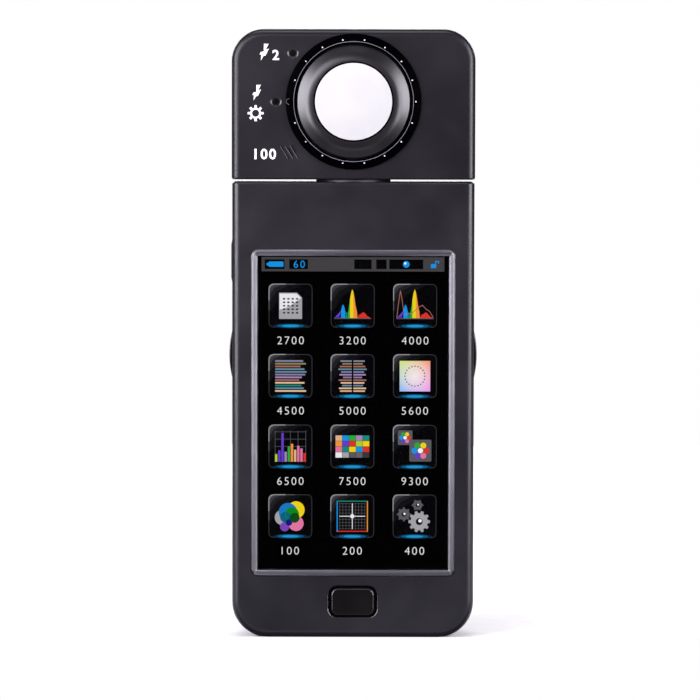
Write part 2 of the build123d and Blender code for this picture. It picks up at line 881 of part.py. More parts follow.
# Places in the head
lug_places = mirrored([(lug_x, receptor_z - lug_rise), (lug_x, receptor_z + lug_rise)])
detent_x = wheel_radius + detent_gap + detent_nib_radius
detent_post_x = detent_x + detent_thickness + detent_post_radius
detent_post_rise = detent_length / 2 - detent_post_radius
detent_places = [(detent_post_x, receptor_z + end * detent_post_rise) for end in (1, -1)]
chamber_front = block_plate - block_front
chamber_back = block_depth - block_front

# Heights along the swivel
bush_base = body_height - top_wall - bush_drop
washer_base = bush_base - washer_thickness
clip_top = washer_base - swivel_play
clip_base = clip_top - clip_thickness
tube_base = clip_base - swivel_tail
stop_pin_z = clip_base - swivel_tail / 2


def neck_bush():
    """The bush in the body's top wall, with the neck's flange in the gap."""
    bore = swivel_radius + running
    return spun([(bore, bush_base), (bush_radius, bush_base), (bush_radius, body_height),
                 (neck_radius, body_height), (neck_radius, head_base - neck_play),
                 (bore, head_base - neck_play)])


def thrust_washer():
    """The washer under the bush."""
    bore = swivel_radius + running
    return spun([(bore, washer_base), (washer_radius, washer_base),
                 (washer_radius, bush_base), (bore, bush_base)])


def swivel_tube():
    """The hollow shaft of the head, with its flange, clip groove and stop pin hole."""
    groove = swivel_radius - clip_groove_depth
    flange_base = head_base + wall
    tube = spun([(swivel_bore, tube_base), (swivel_radius, tube_base), (swivel_radius, clip_base),
                 (groove, clip_base), (groove, clip_top), (swivel_radius, clip_top),
                 (swivel_radius, flange_base), (swivel_flange_radius, flange_base),
                 (swivel_flange_radius, flange_base + swivel_flange),
                 (swivel_bore, flange_base + swivel_flange)])
    return tube - stop_pin()


def stop_pin():
    """The pin in the swivel tube that ends the head's turn."""
    plane = Plane(origin=(0, -swivel_bore, stop_pin_z), x_dir=(1, 0, 0), z_dir=(0, -1, 0))
    return extrude(plane * Circle(stop_pin_radius), amount=stop_pin_reach - swivel_bore)


def retaining_clip():
    """The open clip that keeps the head on the body."""
    groove = swivel_radius - clip_groove_depth
    ring = Circle(clip_radius) - Circle(groove) - Pos(0, -clip_radius) * Rectangle(clip_mouth, clip_radius)
    return Pos(0, 0, clip_base) * extrude(ring, amount=clip_thickness)


def head_shell():
    """The closed form of the head, hollow, with the swivel's hole in its floor."""
    shell = case_form(head_half, head_base, overall_height, crown_corner_radius)
    shell -= case_room(head_half, head_base, overall_height, crown_corner_radius, wall)
    return shell - post(0, 0, swivel_radius, head_base - cut_over, head_base + wall + cut_over)


def receptor_point(radius, degrees):
    """Across and up of a point round the receptor, counted from the right."""
    angle = math.radians(degrees)
    return radius * math.cos(angle), receptor_z + radius * math.sin(angle)


def head_front_case():
    """The front shell of the head, with the ring's hole and the position marks."""
    shell = front_part(head_shell())
    shell += boss_set(head_screw_places, case_boss_radius, -inner_depth, seam_behind_axis)
    bite = seam_behind_axis - case_screw_bite - cut_over
    shell -= boss_set(head_screw_places, case_screw_radius + screw_play, bite, seam_behind_axis + cut_over)
    shell += boss_set(lug_places, post_radius, -inner_depth, -block_front)
    shell -= boss_set(lug_places, screw_radius + screw_play, -inner_depth, cut_over - block_front)
    shell += boss_set(detent_places, detent_post_radius, -inner_depth, -inner_depth + detent_width)
    shell -= rod(0, receptor_z, sleeve_radius + sleeve_play, -half_depth - cut_over, cut_over - inner_depth)
    for degrees in (180 - position_step, 180):
        x, z = receptor_point(dial_radius, degrees)
        shell -= rod(x, z, dimple_radius, -half_depth - cut_over, dimple_depth - half_depth)
    x, z = receptor_point(dial_radius, 180 + position_step)
    square = Pos(x, z) * Rot(0, 0, position_step) * Rectangle(zero_mark_side, zero_mark_side)
    return shell - slab(square, -half_depth - cut_over, dimple_depth - half_depth)


def head_rear_case():
    """The rear shell of the head."""
    shell = rear_part(head_shell())
    shell += boss_set(head_screw_places, case_boss_radius, seam_behind_axis, inner_depth)
    sink = half_depth - case_screw_sink - case_screw_head_height
    shell -= boss_set(head_screw_places, case_screw_head_radius + slip, sink, half_depth + cut_over)
    return shell - boss_set(head_screw_places, case_screw_radius + screw_play,
                            seam_behind_axis - cut_over, sink)


def receptor_cup():
    """The fixed cup: cone outside, white chamber inside, hub behind."""
    floor_front = cup_floor_back + cup_floor
    seat = diffuser_radius + seal_width
    cup = turned([(hub_screw_radius + screw_play, block_front), (hub_radius, block_front),
                  (hub_radius, cup_floor_back), (cup_radius, cup_floor_back), (cup_radius, cone_rim),
                  (seat, cone_front), (seat, diffuser_seat), (cup_bore, diffuser_seat),
                  (cup_bore, floor_front), (hub_screw_radius + screw_play, floor_front)])
    return cup - rod(0, receptor_z + window_offset, window_radius, -floor_front - cut_over,
                     cut_over - cup_floor_back)


def diffuser():
    """The white diffuser, a shallow dome."""
    rise = diffuser_front - diffuser_edge
    ball = (diffuser_radius ** 2 + rise ** 2) / (2 * rise)
    disc = turned([(0, diffuser_seat), (diffuser_radius, diffuser_seat),
                   (diffuser_radius, diffuser_front), (0, diffuser_front)])
    return disc & Pos(0, ball - diffuser_front, receptor_z) * Sphere(ball)


def diffuser_seal():
    """The black seal round the diffuser."""
    return turned([(diffuser_radius, diffuser_seat), (diffuser_radius + seal_width, diffuser_seat),
                   (diffuser_radius + seal_width, diffuser_seat + seal_height),
                   (diffuser_radius, diffuser_seat + seal_height)])


def hub_screw():
    """The screw that holds the cup to the optical block."""
    floor_front = cup_floor_back + cup_floor
    tip = block_front - case_screw_bite
    return turned([(0, tip), (hub_screw_radius, tip), (hub_screw_radius, floor_front),
                   (hub_screw_head_radius, floor_front),
                   (hub_screw_head_radius, floor_front + hub_screw_head), (0, floor_front + hub_screw_head)])


def selector_ring():
    """The ribbed ring that the hand turns, with its pointer and its sleeve."""
    skirt = half_depth + ring_case_play
    edge = skirt + ring_skirt_edge
    ring = turned([(ring_bore, wheel_front), (sleeve_radius, wheel_front), (sleeve_radius, skirt),
                   (ring_skirt_radius, skirt), (ring_skirt_radius, edge),
                   (ring_front_radius, ring_front), (ring_bore, ring_front)])
    step = 360 / rib_count
    foot = ring_front_radius - rib_width / 2
    rib_profile = [(foot, skirt), (foot, ring_front), (foot + rib_width, ring_front),
                   (ring_skirt_radius, edge + rib_proud), (ring_skirt_radius, skirt)]
    for index in range(rib_count):
        degrees = index * step
        if abs(degrees - 180) < step / 2:
            continue
        ring += Pos(0, 0, receptor_z) * Rot(0, -degrees, 0) * rib(rib_profile)
    ring += turned_pointer(skirt)
    return ring


def rib(profile):
    """One grip rib, pointing right from the receptor's axis."""
    outline = make_face(Polyline(*[(radius, -reach) for radius, reach in profile], close=True))
    return extrude(outline, amount=rib_width / 2, both=True)


def turned_pointer(skirt):
    """The small round pointer in place of one rib."""
    x, z = receptor_point(pointer_reach, 180)
    pip = rod(x, z, pointer_radius, -ring_front, -skirt)
    return fillet(pip.faces().sort_by(Axis.Y)[0].edges(), pointer_radius / 3)


def filter_wheel():
    """The wheel behind the wall, with a rim that traps the ring and detent notches."""
    rim_front = inner_depth - wheel_play
    wheel = turned([(hub_radius + running, wheel_back), (wheel_radius, wheel_back),
                    (wheel_radius, rim_front), (sleeve_radius, rim_front),
                    (sleeve_radius, wheel_front), (hub_radius + running, wheel_front)])
    for degrees in (90, 90 + position_step):
        x, z = receptor_point(window_offset, degrees)
        wheel -= rod(x, z, window_radius, -wheel_front - cut_over, cut_over - wheel_back)
    for turn in (-1, 0, 1):
        x, z = receptor_point(wheel_radius, turn * position_step)
        wheel -= rod(x, z, notch_radius, -rim_front - cut_over, cut_over - wheel_back)
    return wheel


def dimming_filter():
    """The grey filter in one of the wheel's windows."""
    x, z = receptor_point(window_offset, 90 + position_step)
    return rod(x, z, window_radius, -wheel_front, -wheel_back)


def detent_spring():
    """The leaf that clicks in the wheel's notches, bent to a nib in the middle."""
    leaf = panel(detent_x + detent_thickness / 2, receptor_z, detent_thickness, detent_length)
    nib = Pos(detent_x, receptor_z) * Circle(detent_nib_radius)
    nib -= Pos(detent_x + detent_nib_radius, receptor_z) * Rectangle(2 * detent_nib_radius, detent_length)
    return slab(leaf + nib, -inner_depth, -inner_depth + detent_width)


def optical_block():
    """The block behind the wheel: lugs, light pipe, chamber and mirror wedge."""
    half_width = block_width / 2
    half_height = block_height / 2
    lug_half = lug_x + block_lug_radius
    plate = panel(0, receptor_z, 2 * lug_half, 2 * (lug_rise + block_lug_radius), block_corner)
    body = slab(plate, -block_front, chamber_front)
    body += slab(panel(0, receptor_z, block_width, block_height, block_corner),
                 -block_front, chamber_back)
    body -= block((chamber_wall - half_width, chamber_front, receptor_z - half_height + chamber_wall),
                  (half_width - chamber_wall, half_depth, receptor_z + half_height - chamber_wall))
    body -= rod(0, receptor_z + window_offset, pipe_radius, -block_front - cut_over,
                chamber_front + cut_over)
    body -= boss_set(lug_places, screw_radius + screw_play, -block_front - cut_over,
                     chamber_front + cut_over)
    body += rod(0, receptor_z, hub_radius, chamber_front, chamber_front + hub_boss)
    body -= rod(0, receptor_z, hub_screw_radius + screw_play, -block_front - cut_over,
                chamber_front + hub_boss + cut_over)
    half = mirror_side / 2
    return body + sideways(make_face(Polyline(*mirror_slope(), close=True)), -half, half)


def mirror_slope():
    """The corner in the chamber's top that carries the mirror, in depth and height."""
    top = receptor_z + block_height / 2 - chamber_wall
    low = receptor_z + window_offset - mirror_side / 2
    return [(chamber_back - mirror_side, low + mirror_side), (chamber_back, low), (chamber_back, top),
            (chamber_back - mirror_side, top)]


def fold_mirror():
    """The mirror that turns the light down to the slit."""
    high_point, low_point = mirror_slope()[:2]
    shift = mirror_thickness / math.sqrt(2)
    moved = [(y - shift, z - shift) for y, z in (low_point, high_point)]
    half = mirror_side / 2
    return sideways(make_face(Polyline(high_point, low_point, *moved, close=True)), -half, half)


def slit_plate():
    """The thin plate across the chamber, with the slit under the mirror."""
    half = block_width / 2 - chamber_wall
    top = receptor_z - slit_drop
    plate = block((-half, chamber_front, top - slit_thickness), (half, chamber_back, top))
    slit_y = chamber_back - (block_height / 2 - chamber_wall - window_offset)
    return plate - block((-slit_length / 2, slit_y - slit_width / 2, top - slit_thickness - cut_over),
                         (slit_length / 2, slit_y + slit_width / 2, top + cut_over))


def grating():
    """The grating on the chamber's floor, under the slit."""
    floor = receptor_z - block_height / 2 + chamber_wall
    middle = (chamber_front + chamber_back) / 2
    half = grating_side / 2
    return block((-half, middle - half, floor), (half, middle + half, floor + grating_thickness))


def sensor_board():
    """The sensor's board on the chamber's left wall."""
    wall_x = chamber_wall - block_width / 2
    floor = receptor_z - block_height / 2 + chamber_wall
    top = receptor_z - slit_drop - slit_thickness
    return block((wall_x, chamber_front + sensor_board_edge, floor + sensor_board_edge),
                 (wall_x + sensor_board_thickness, chamber_back - sensor_board_edge,
                  top - sensor_board_edge))


def line_sensor():
    """The line sensor that reads the spectrum."""
    face_x = chamber_wall - block_width / 2 + sensor_board_thickness
    floor = receptor_z - block_height / 2 + chamber_wall
    middle_z = (floor + receptor_z - slit_drop - slit_thickness) / 2
    middle_y = (chamber_front + chamber_back) / 2
    return block((face_x, middle_y - sensor_length / 2, middle_z - sensor_height / 2),
                 (face_x + sensor_thickness, middle_y + sensor_length / 2, middle_z + sensor_height / 2))


def block_cover():
    """The lid of the optical chamber."""
    outline = panel(0, receptor_z, block_width, block_height, block_corner)
    return slab(outline, chamber_back, chamber_back + block_cover_thickness)


case_head_y = half_depth - case_screw_sink - case_screw_head_height
case_tip_y = seam_behind_axis - case_screw_bite
post_tip_y = -inner_depth + screw_play


def case_screws(places):
    """The screws that hold a rear shell."""
    screws = screw_set(places, case_screw_radius, case_screw_head_radius, case_screw_head_height,
                       case_head_y, case_tip_y)
    return crossed(screws, places, case_screw_head_radius, case_screw_head_height, case_head_y)


def main():
    """Builds every piece and writes it under its name."""
    small = (screw_radius, screw_head_radius, screw_head_height)
    pieces = {
        "front_case": front_case(),
        "rear_case": rear_case(),
        "screen_bezel": screen_bezel(),
        "cover_glass": cover_glass(),
        "display_panel": display_panel(),
        "chassis_plate": chassis_plate(),
        "chassis_screws": screw_set(chassis_places, *small, chassis_back, post_tip_y),
        "main_board": main_board(),
        "board_parts": board_parts(),
        "port_board": port_board(),
        "board_screws": screw_set(board_places() + port_places(), *small, board_back,
                                   chassis_back + screw_play),
        "data_socket": data_socket(),
        "sync_socket": sync_socket(),
        "port_cover": port_cover(),
        "menu_button": menu_button(),
        "menu_board": menu_board(),
        "side_key_boards": key_boards(),
        "side_key_domes": key_domes(),
        "battery_tray": battery_tray(),
        "battery_contacts": end_contacts(),
        "cell_1": cell(-1, True),
        "cell_2": cell(1, False),
        "battery_door": battery_door(),
        "door_hinge_pin": hinge_pin(),
        "tripod_insert": tripod_insert(),
        "strap_pin": strap_pin(),
        "body_screws": case_screws(body_screw_places),
        "neck_bush": neck_bush(),
        "thrust_washer": thrust_washer(),
        "swivel_tube": swivel_tube(),
        "stop_pin": stop_pin(),
        "retaining_clip": retaining_clip(),
        "head_front_case": head_front_case(),
        "head_rear_case": head_rear_case(),
        "head_screws": case_screws(head_screw_places),
        "receptor_cup": receptor_cup(),
        "hub_screw": hub_screw(),
        "diffuser": diffuser(),
        "diffuser_seal": diffuser_seal(),
        "selector_ring": selector_ring(),
        "filter_wheel": filter_wheel(),
        "dimming_filter": dimming_filter(),
        "detent_spring": detent_spring(),
        "optical_block": optical_block(),
        "block_screws": screw_set(lug_places, *small, chamber_front, post_tip_y),
        "fold_mirror": fold_mirror(),
        "slit_plate": slit_plate(),
        "grating": grating(),
        "sensor_board": sensor_board(),
        "line_sensor": line_sensor(),
        "block_cover": block_cover(),
    }
    for name, key in side_keys.items():
        pieces[name] = side_key(*key)
    os.makedirs("parts", exist_ok=True)
    for name, piece in pieces.items():
        keep(name, piece)


main()
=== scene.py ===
"""Looks of a hand-held spectrometer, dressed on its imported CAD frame."""

import json
import logging
import math
from dataclasses import dataclass, field
from enum import Enum
from typing import Protocol

import bmesh
import bpy
from mathutils import Matrix, Vector


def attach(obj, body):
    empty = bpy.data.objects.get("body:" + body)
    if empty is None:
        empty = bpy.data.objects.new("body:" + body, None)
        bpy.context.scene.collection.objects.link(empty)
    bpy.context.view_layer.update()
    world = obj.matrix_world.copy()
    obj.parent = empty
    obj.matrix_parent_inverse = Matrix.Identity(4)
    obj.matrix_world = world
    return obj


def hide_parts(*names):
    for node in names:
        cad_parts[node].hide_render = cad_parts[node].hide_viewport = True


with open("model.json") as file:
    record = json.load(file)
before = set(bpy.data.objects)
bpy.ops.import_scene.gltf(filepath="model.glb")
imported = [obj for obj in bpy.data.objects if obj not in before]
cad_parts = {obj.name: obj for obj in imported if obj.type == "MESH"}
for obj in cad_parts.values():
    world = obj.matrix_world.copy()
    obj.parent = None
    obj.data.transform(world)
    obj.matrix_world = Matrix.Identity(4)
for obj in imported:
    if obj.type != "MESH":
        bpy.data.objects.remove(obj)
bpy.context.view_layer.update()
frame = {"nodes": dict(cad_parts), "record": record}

log = logging.getLogger("spectrometer")

MM = 0.001
FILM = 0.02  # thickness in mm of ink and of a rubbed or polished edge
SHELL_FRONT = -11.5  # y in mm of the flat front of body and head
RECEPTOR_AXIS = 161.3  # height in mm of the receptor's axis
UPRIGHT = Matrix.Rotation(math.pi / 2, 3, "X")  # turns what is drawn flat to face the front

Colour = tuple[float, float, float, float]
Point = tuple[float, float]
Place = tuple[float, float, float]


# Shared helpers

def linear(hex_colour: str) -> Colour:
    """Turns an sRGB hex colour into linear light.

    Args:
        hex_colour: six hex digits, such as "2c2a2f".

    Returns:
        Red, green, blue and a full alpha.
    """
    parts = [int(hex_colour[at:at + 2], 16) / 255 for at in (0, 2, 4)]
    return (*[p / 12.92 if p <= 0.04045 else ((p + 0.055) / 1.055) ** 2.4 for p in parts], 1.0)


def add_node(tree: bpy.types.NodeTree, kind: str, settings: dict | None = None,
             inputs: dict | None = None) -> bpy.types.Node:
    """Adds a node with its settings, values and links.

    Args:
        tree: the node tree.
        kind: the node's type.
        settings: attributes of the node, or of a part of it as "part.attribute".
        inputs: a value or an output socket for each input, by name or number.

    Returns:
        The new node.
    """
    node = tree.nodes.new(kind)
    for path, value in (settings or {}).items():
        part, _, attribute = path.rpartition(".")
        setattr(node.path_resolve(part) if part else node, attribute, value)
    for name, value in (inputs or {}).items():
        if isinstance(value, bpy.types.NodeSocket):
            tree.links.new(value, node.inputs[name])
        else:
            node.inputs[name].default_value = value
    return node


def start_material(name: str, values: dict[str, float | Place | Colour]) -> tuple[
        bpy.types.Material, bpy.types.NodeTree, bpy.types.Node]:
    """Makes a material that has only its shader.

    Args:
        name: the material's name.
        values: what is the same all over the surface, by the shader's socket.

    Returns:
        The material, its node tree and its Principled shader.
    """
    material = bpy.data.materials.new(name)
    material.use_nodes = True
    shader = next(node for node in material.node_tree.nodes if node.type == "BSDF_PRINCIPLED")
    for socket, value in values.items():
        shader.inputs[socket].default_value = value
    return material, material.node_tree, shader


# What a finish is made of

class Texture(Enum):
    """Kinds of pattern: the node, its settings, and the output that is read."""

    GRAIN = ("ShaderNodeTexNoise", (), "Fac")
    TRACKS = ("ShaderNodeTexVoronoi", (("distance", "MANHATTAN"), ("feature", "F1")), "Distance")


@dataclass(frozen=True)
class Pattern:
    """A pattern on Object coordinates, its size in mm and its finer octaves, drawn out along an axis."""

    size: float
    detail: float = 2.0
    stretch: Place = (1.0, 1.0, 1.0)
    texture: Texture = Texture.GRAIN


@dataclass(frozen=True)
class Hue:
    """A pattern that runs from one colour to another, between two of its own levels."""

    pattern: Pattern
    dark: Colour
    light: Colour
    low: float = 0.35
    high: float = 0.65
    socket: str = "Base Color"


@dataclass(frozen=True)
class Gloss:
    """A pattern that runs between two roughnesses, over the levels that most of a grain lies between."""

    pattern: Pattern
    smooth: float
    rough: float
    low: float = 0.3
    high: float = 0.7


@dataclass(frozen=True)
class Relief:
    """A pattern that stands out of the surface, its depth in mm."""

    pattern: Pattern
    depth: float
    strength: float


@dataclass(frozen=True)
class Surface:
    """A finish as its parts: what is even, and the patterns in colour, gloss and relief."""

    name: str
    even: dict[str, float | Place | Colour]
    hue: Hue | None = None
    gloss: Gloss | None = None
    relief: Relief | None = None

    def material(self) -> bpy.types.Material:
        """Makes the material, each pattern once.

        Returns:
            The material.
        """
        material, tree, shader = start_material(self.name, self.even)
        place = add_node(tree, "ShaderNodeTexCoord").outputs["Object"]
        drawn = {}
        for pattern in dict.fromkeys(part.pattern for part in (self.hue, self.gloss, self.relief) if part):
            kind, settings, output = pattern.texture.value
            turned = add_node(tree, "ShaderNodeMapping", inputs={"Vector": place, "Scale": pattern.stretch})
            texture = add_node(tree, kind, dict(settings), {
                "Vector": turned.outputs["Vector"], "Scale": 1 / (pattern.size * MM), "Detail": pattern.detail})
            drawn[pattern] = texture.outputs[output]
        if self.hue:
            ramp = add_node(tree, "ShaderNodeValToRGB", {
                "color_ramp.elements[0].position": self.hue.low, "color_ramp.elements[0].color": self.hue.dark,
                "color_ramp.elements[1].position": self.hue.high, "color_ramp.elements[1].color": self.hue.light,
            }, {"Fac": drawn[self.hue.pattern]})
            tree.links.new(ramp.outputs["Color"], shader.inputs[self.hue.socket])
        if self.gloss:
            spread = add_node(tree, "ShaderNodeMapRange", inputs={
                "Value": drawn[self.gloss.pattern], "From Min": self.gloss.low, "From Max": self.gloss.high,
                "To Min": self.gloss.smooth, "To Max": self.gloss.rough})
            tree.links.new(spread.outputs["Result"], shader.inputs["Roughness"])
        if self.relief:
            bump = add_node(tree, "ShaderNodeBump", inputs={
                "Height": drawn[self.relief.pattern], "Distance": self.relief.depth * MM,
                "Strength": self.relief.strength})
            tree.links.new(bump.outputs["Normal"], shader.inputs["Normal"])
        return material


class Recipe(Protocol):
    """A named finish that can be mixed."""

    name: str

    def material(self) -> bpy.types.Material:
        """Makes the finish."""


# Finishes

@dataclass(frozen=True)
class MouldedPlastic:
    """Moulded ABS and polycarbonate: the tool's spark-eroded grain breaks the gloss into a soft sheen."""

    name: str
    colour: str
    worn: str
    roughness: float = 0.5
    grain: float = 0.35  # really near 0.05 mm, drawn coarse enough to show
    depth: float = 0.02
    cloud: float = 18.0
    shine: float = 0.5
    vary: float = 0.05
    strength: float = 0.6

    def material(self) -> bpy.types.Material:
        """Makes the finish: fine grain as relief, slow clouding in colour and gloss.

        Returns:
            The material.
        """
        clouds = Pattern(self.cloud, detail=3.0)
        return Surface(self.name, {"Specular IOR Level": self.shine},
                       Hue(clouds, linear(self.colour), linear(self.worn)),
                       Gloss(clouds, self.roughness - self.vary, self.roughness + self.vary),
                       Relief(Pattern(self.grain, detail=1.0), self.depth, self.strength)).material()


@dataclass(frozen=True)
class WorkedMetal:
    """Stamped, turned or anodised metal: fine lines along the way it was worked, a little tarnish."""

    name: str
    colour: str
    tarnish: str
    roughness: float = 0.3
    line: float = 0.2  # brush and tool marks are near 0.03 mm, drawn coarse enough to show
    patch: float = 8.0
    stretch: Place = (0.05, 1.0, 1.0)
    depth: float = 0.01
    brushed: float = 0.0
    brush_turn: float = 0.0
    vary: float = 0.06
    strength: float = 0.5

    def material(self) -> bpy.types.Material:
        """Makes the finish: drawn-out grain in gloss and relief, patches of duller colour.

        Returns:
            The material.
        """
        lines = Pattern(self.line, stretch=self.stretch)
        even = {"Metallic": 1.0, "Anisotropic": self.brushed, "Anisotropic Rotation": self.brush_turn}
        return Surface(self.name, even,
                       Hue(Pattern(self.patch), linear(self.colour), linear(self.tarnish)),
                       Gloss(lines, self.roughness - self.vary, self.roughness + self.vary),
                       Relief(lines, self.depth, self.strength)).material()


@dataclass(frozen=True)
class PolishedGlass:
    """Float glass, ground and polished: clear right through, with the faint ripple of its polish."""

    name: str
    tint: str
    ior: float
    roughness: float = 0.02
    ripple: float = 12.0

    def material(self) -> bpy.types.Material:
        """Makes the finish: full transmission with a very slow ripple in its polish.

        Returns:
            The material.
        """
        even = {"Base Color": linear(self.tint), "Transmission Weight": 1.0, "IOR": self.ior}
        ripples = Pattern(self.ripple, detail=1.0)
        return Surface(self.name, even, gloss=Gloss(ripples, self.roughness / 2, self.roughness)).material()


DARK_CELL = {"Base Color": linear("020203"), "Specular IOR Level": 0.0}  # a display cell without its light


@dataclass(frozen=True)
class DisplayLight:
    """Light of the liquid crystal display: even colour, broken very slightly by its cells."""

    name: str
    colour: str
    power: float = 1.0
    cell: float = 0.25  # really near 0.08 mm, drawn coarse enough to show
    dimmest: float = 0.9
    roughness: float = 0.6

    def material(self) -> bpy.types.Material:
        """Makes the finish: a black base that glows, a little unevenly from cell to cell.

        Returns:
            The material.
        """
        lit = linear(self.colour)
        dim = (*[self.dimmest * part for part in lit[:3]], 1.0)
        even = {**DARK_CELL, "Emission Strength": self.power, "Roughness": self.roughness}
        cells = Pattern(self.cell, detail=0.0)
        return Surface(self.name, even, Hue(cells, dim, lit, socket="Emission Color")).material()


@dataclass(frozen=True)
class DisplayField:
    """Light of the display where four corner colours run into each other and pale towards the middle."""

    name: str
    middle: Point
    half: float
    low_pair: tuple[str, str]
    high_pair: tuple[str, str]
    pale: str = "fff4f4"
    pale_share: float = 0.85
    pale_reach: float = 0.6

    def material(self) -> bpy.types.Material:
        """Makes the finish: each pair of colours runs across, one pair into the other going up.

        Returns:
            The material.
        """
        material, tree, shader = start_material(self.name, {**DARK_CELL, "Emission Strength": 1.0})
        mixed = {"data_type": "RGBA"}
        factor, first, second, result = 0, 6, 7, 2  # the colour sockets of a mix node, by number
        place = add_node(tree, "ShaderNodeTexCoord").outputs["Object"]
        parts = add_node(tree, "ShaderNodeSeparateXYZ", inputs={"Vector": place})
        across, up = (add_node(tree, "ShaderNodeMapRange", inputs={
            "Value": parts.outputs[axis], "From Min": (middle - self.half) * MM,
            "From Max": (middle + self.half) * MM}).outputs["Result"] for axis, middle in zip("XZ", self.middle))
        low, high = (add_node(tree, "ShaderNodeMix", mixed, {
            factor: across, first: linear(left), second: linear(right)}).outputs[result]
            for left, right in (self.low_pair, self.high_pair))
        hue = add_node(tree, "ShaderNodeMix", mixed, {factor: up, first: low, second: high})
        spot = add_node(tree, "ShaderNodeCombineXYZ", inputs={"X": across, "Y": up})
        reach = add_node(tree, "ShaderNodeVectorMath", {"operation": "DISTANCE"}, {
            0: spot.outputs["Vector"], 1: (0.5, 0.5, 0)})
        near = add_node(tree, "ShaderNodeMapRange", inputs={
            "Value": reach.outputs["Value"], "From Max": self.pale_reach, "To Min": self.pale_share, "To Max": 0.0})
        lit = add_node(tree, "ShaderNodeMix", mixed, {
            factor: near.outputs["Result"], first: hue.outputs[result], second: linear(self.pale)})
        tree.links.new(lit.outputs[result], shader.inputs["Emission Color"])
        return material


@dataclass(frozen=True)
class PrintedInk:
    """Pad-printed ink on grained plastic: matt, thin enough for the grain to show as specks."""

    name: str
    colour: str
    speck: str
    grain: float = 0.25  # really near 0.05 mm, drawn coarse enough to show
    bare: float = 0.25
    inked: float = 0.4
    roughness: float = 0.55

    def material(self) -> bpy.types.Material:
        """Makes the finish: matt ink with specks where the grain shows through.

        Returns:
            The material.
        """
        specks = Pattern(self.grain, detail=1.0)
        return Surface(self.name, {"Roughness": self.roughness},
                       Hue(specks, linear(self.speck), linear(self.colour), self.bare, self.inked)).material()


@dataclass(frozen=True)
class OpalAcrylic:
    """Opal acrylic dome, moulded and flame polished: light sinks in a little and comes back white."""

    name: str
    colour: str
    deep: str
    flow: float = 9.0
    sunk: float = 0.25
    reach: float = 1.2
    roughness: float = 0.35

    def material(self) -> bpy.types.Material:
        """Makes the finish: white with scattering below the surface and faint flow clouds.

        Returns:
            The material.
        """
        even = {"Subsurface Weight": self.sunk, "Subsurface Radius": (self.reach * MM,) * 3, "Subsurface Scale": 1.0,
                "Roughness": self.roughness}
        return Surface(self.name, even, Hue(Pattern(self.flow), linear(self.deep), linear(self.colour))).material()


@dataclass(frozen=True)
class SolderMask:
    """Fibreglass board under green lacquer: glossy, with the copper tracks raised below it."""

    name: str
    mask: str
    track: str
    pitch: float = 1.6  # tracks stand near 0.3 mm apart, drawn coarse enough to show
    track_start: float = 0.45
    track_full: float = 0.5
    depth: float = 0.02
    strength: float = 0.4
    roughness: float = 0.28

    def material(self) -> bpy.types.Material:
        """Makes the finish: a fine grid of tracks seen through the lacquer.

        Returns:
            The material.
        """
        tracks = Pattern(self.pitch, detail=0.0, texture=Texture.TRACKS)
        return Surface(self.name, {"Roughness": self.roughness},
                       Hue(tracks, linear(self.mask), linear(self.track), self.track_start, self.track_full),
                       relief=Relief(tracks, self.depth, self.strength)).material()


@dataclass(frozen=True)
class SoftRubber:
    """Moulded silicone rubber: dull, dusted, and slightly lighter where it has been rubbed."""

    name: str
    colour: str
    dust: str
    patch: float = 2.5
    grain: float = 0.3  # the mould's fine blasting is near 0.05 mm, drawn coarse enough to show
    depth: float = 0.02
    strength: float = 0.5
    roughness: float = 0.8

    def material(self) -> bpy.types.Material:
        """Makes the finish: a high roughness with dust in slow patches.

        Returns:
            The material.
        """
        return Surface(self.name, {"Roughness": self.roughness},
                       Hue(Pattern(self.patch, detail=4.0), linear(self.colour), linear(self.dust)),
                       relief=Relief(Pattern(self.grain), self.depth, self.strength)).material()


@dataclass(frozen=True)
class PaperSheet:
    """White backdrop paper, felted and matt: faint fibres, no gloss."""

    name: str
    colour: str
    fibre: str
    felt: float = 6.0
    roughness: float = 0.9

    def material(self) -> bpy.types.Material:
        """Makes the finish: matt white with slow, faint patches of fibre.

        Returns:
            The material.
        """
        return Surface(self.name, {"Roughness": self.roughness},
                       Hue(Pattern(self.felt, detail=3.0), linear(self.fibre), linear(self.colour))).material()


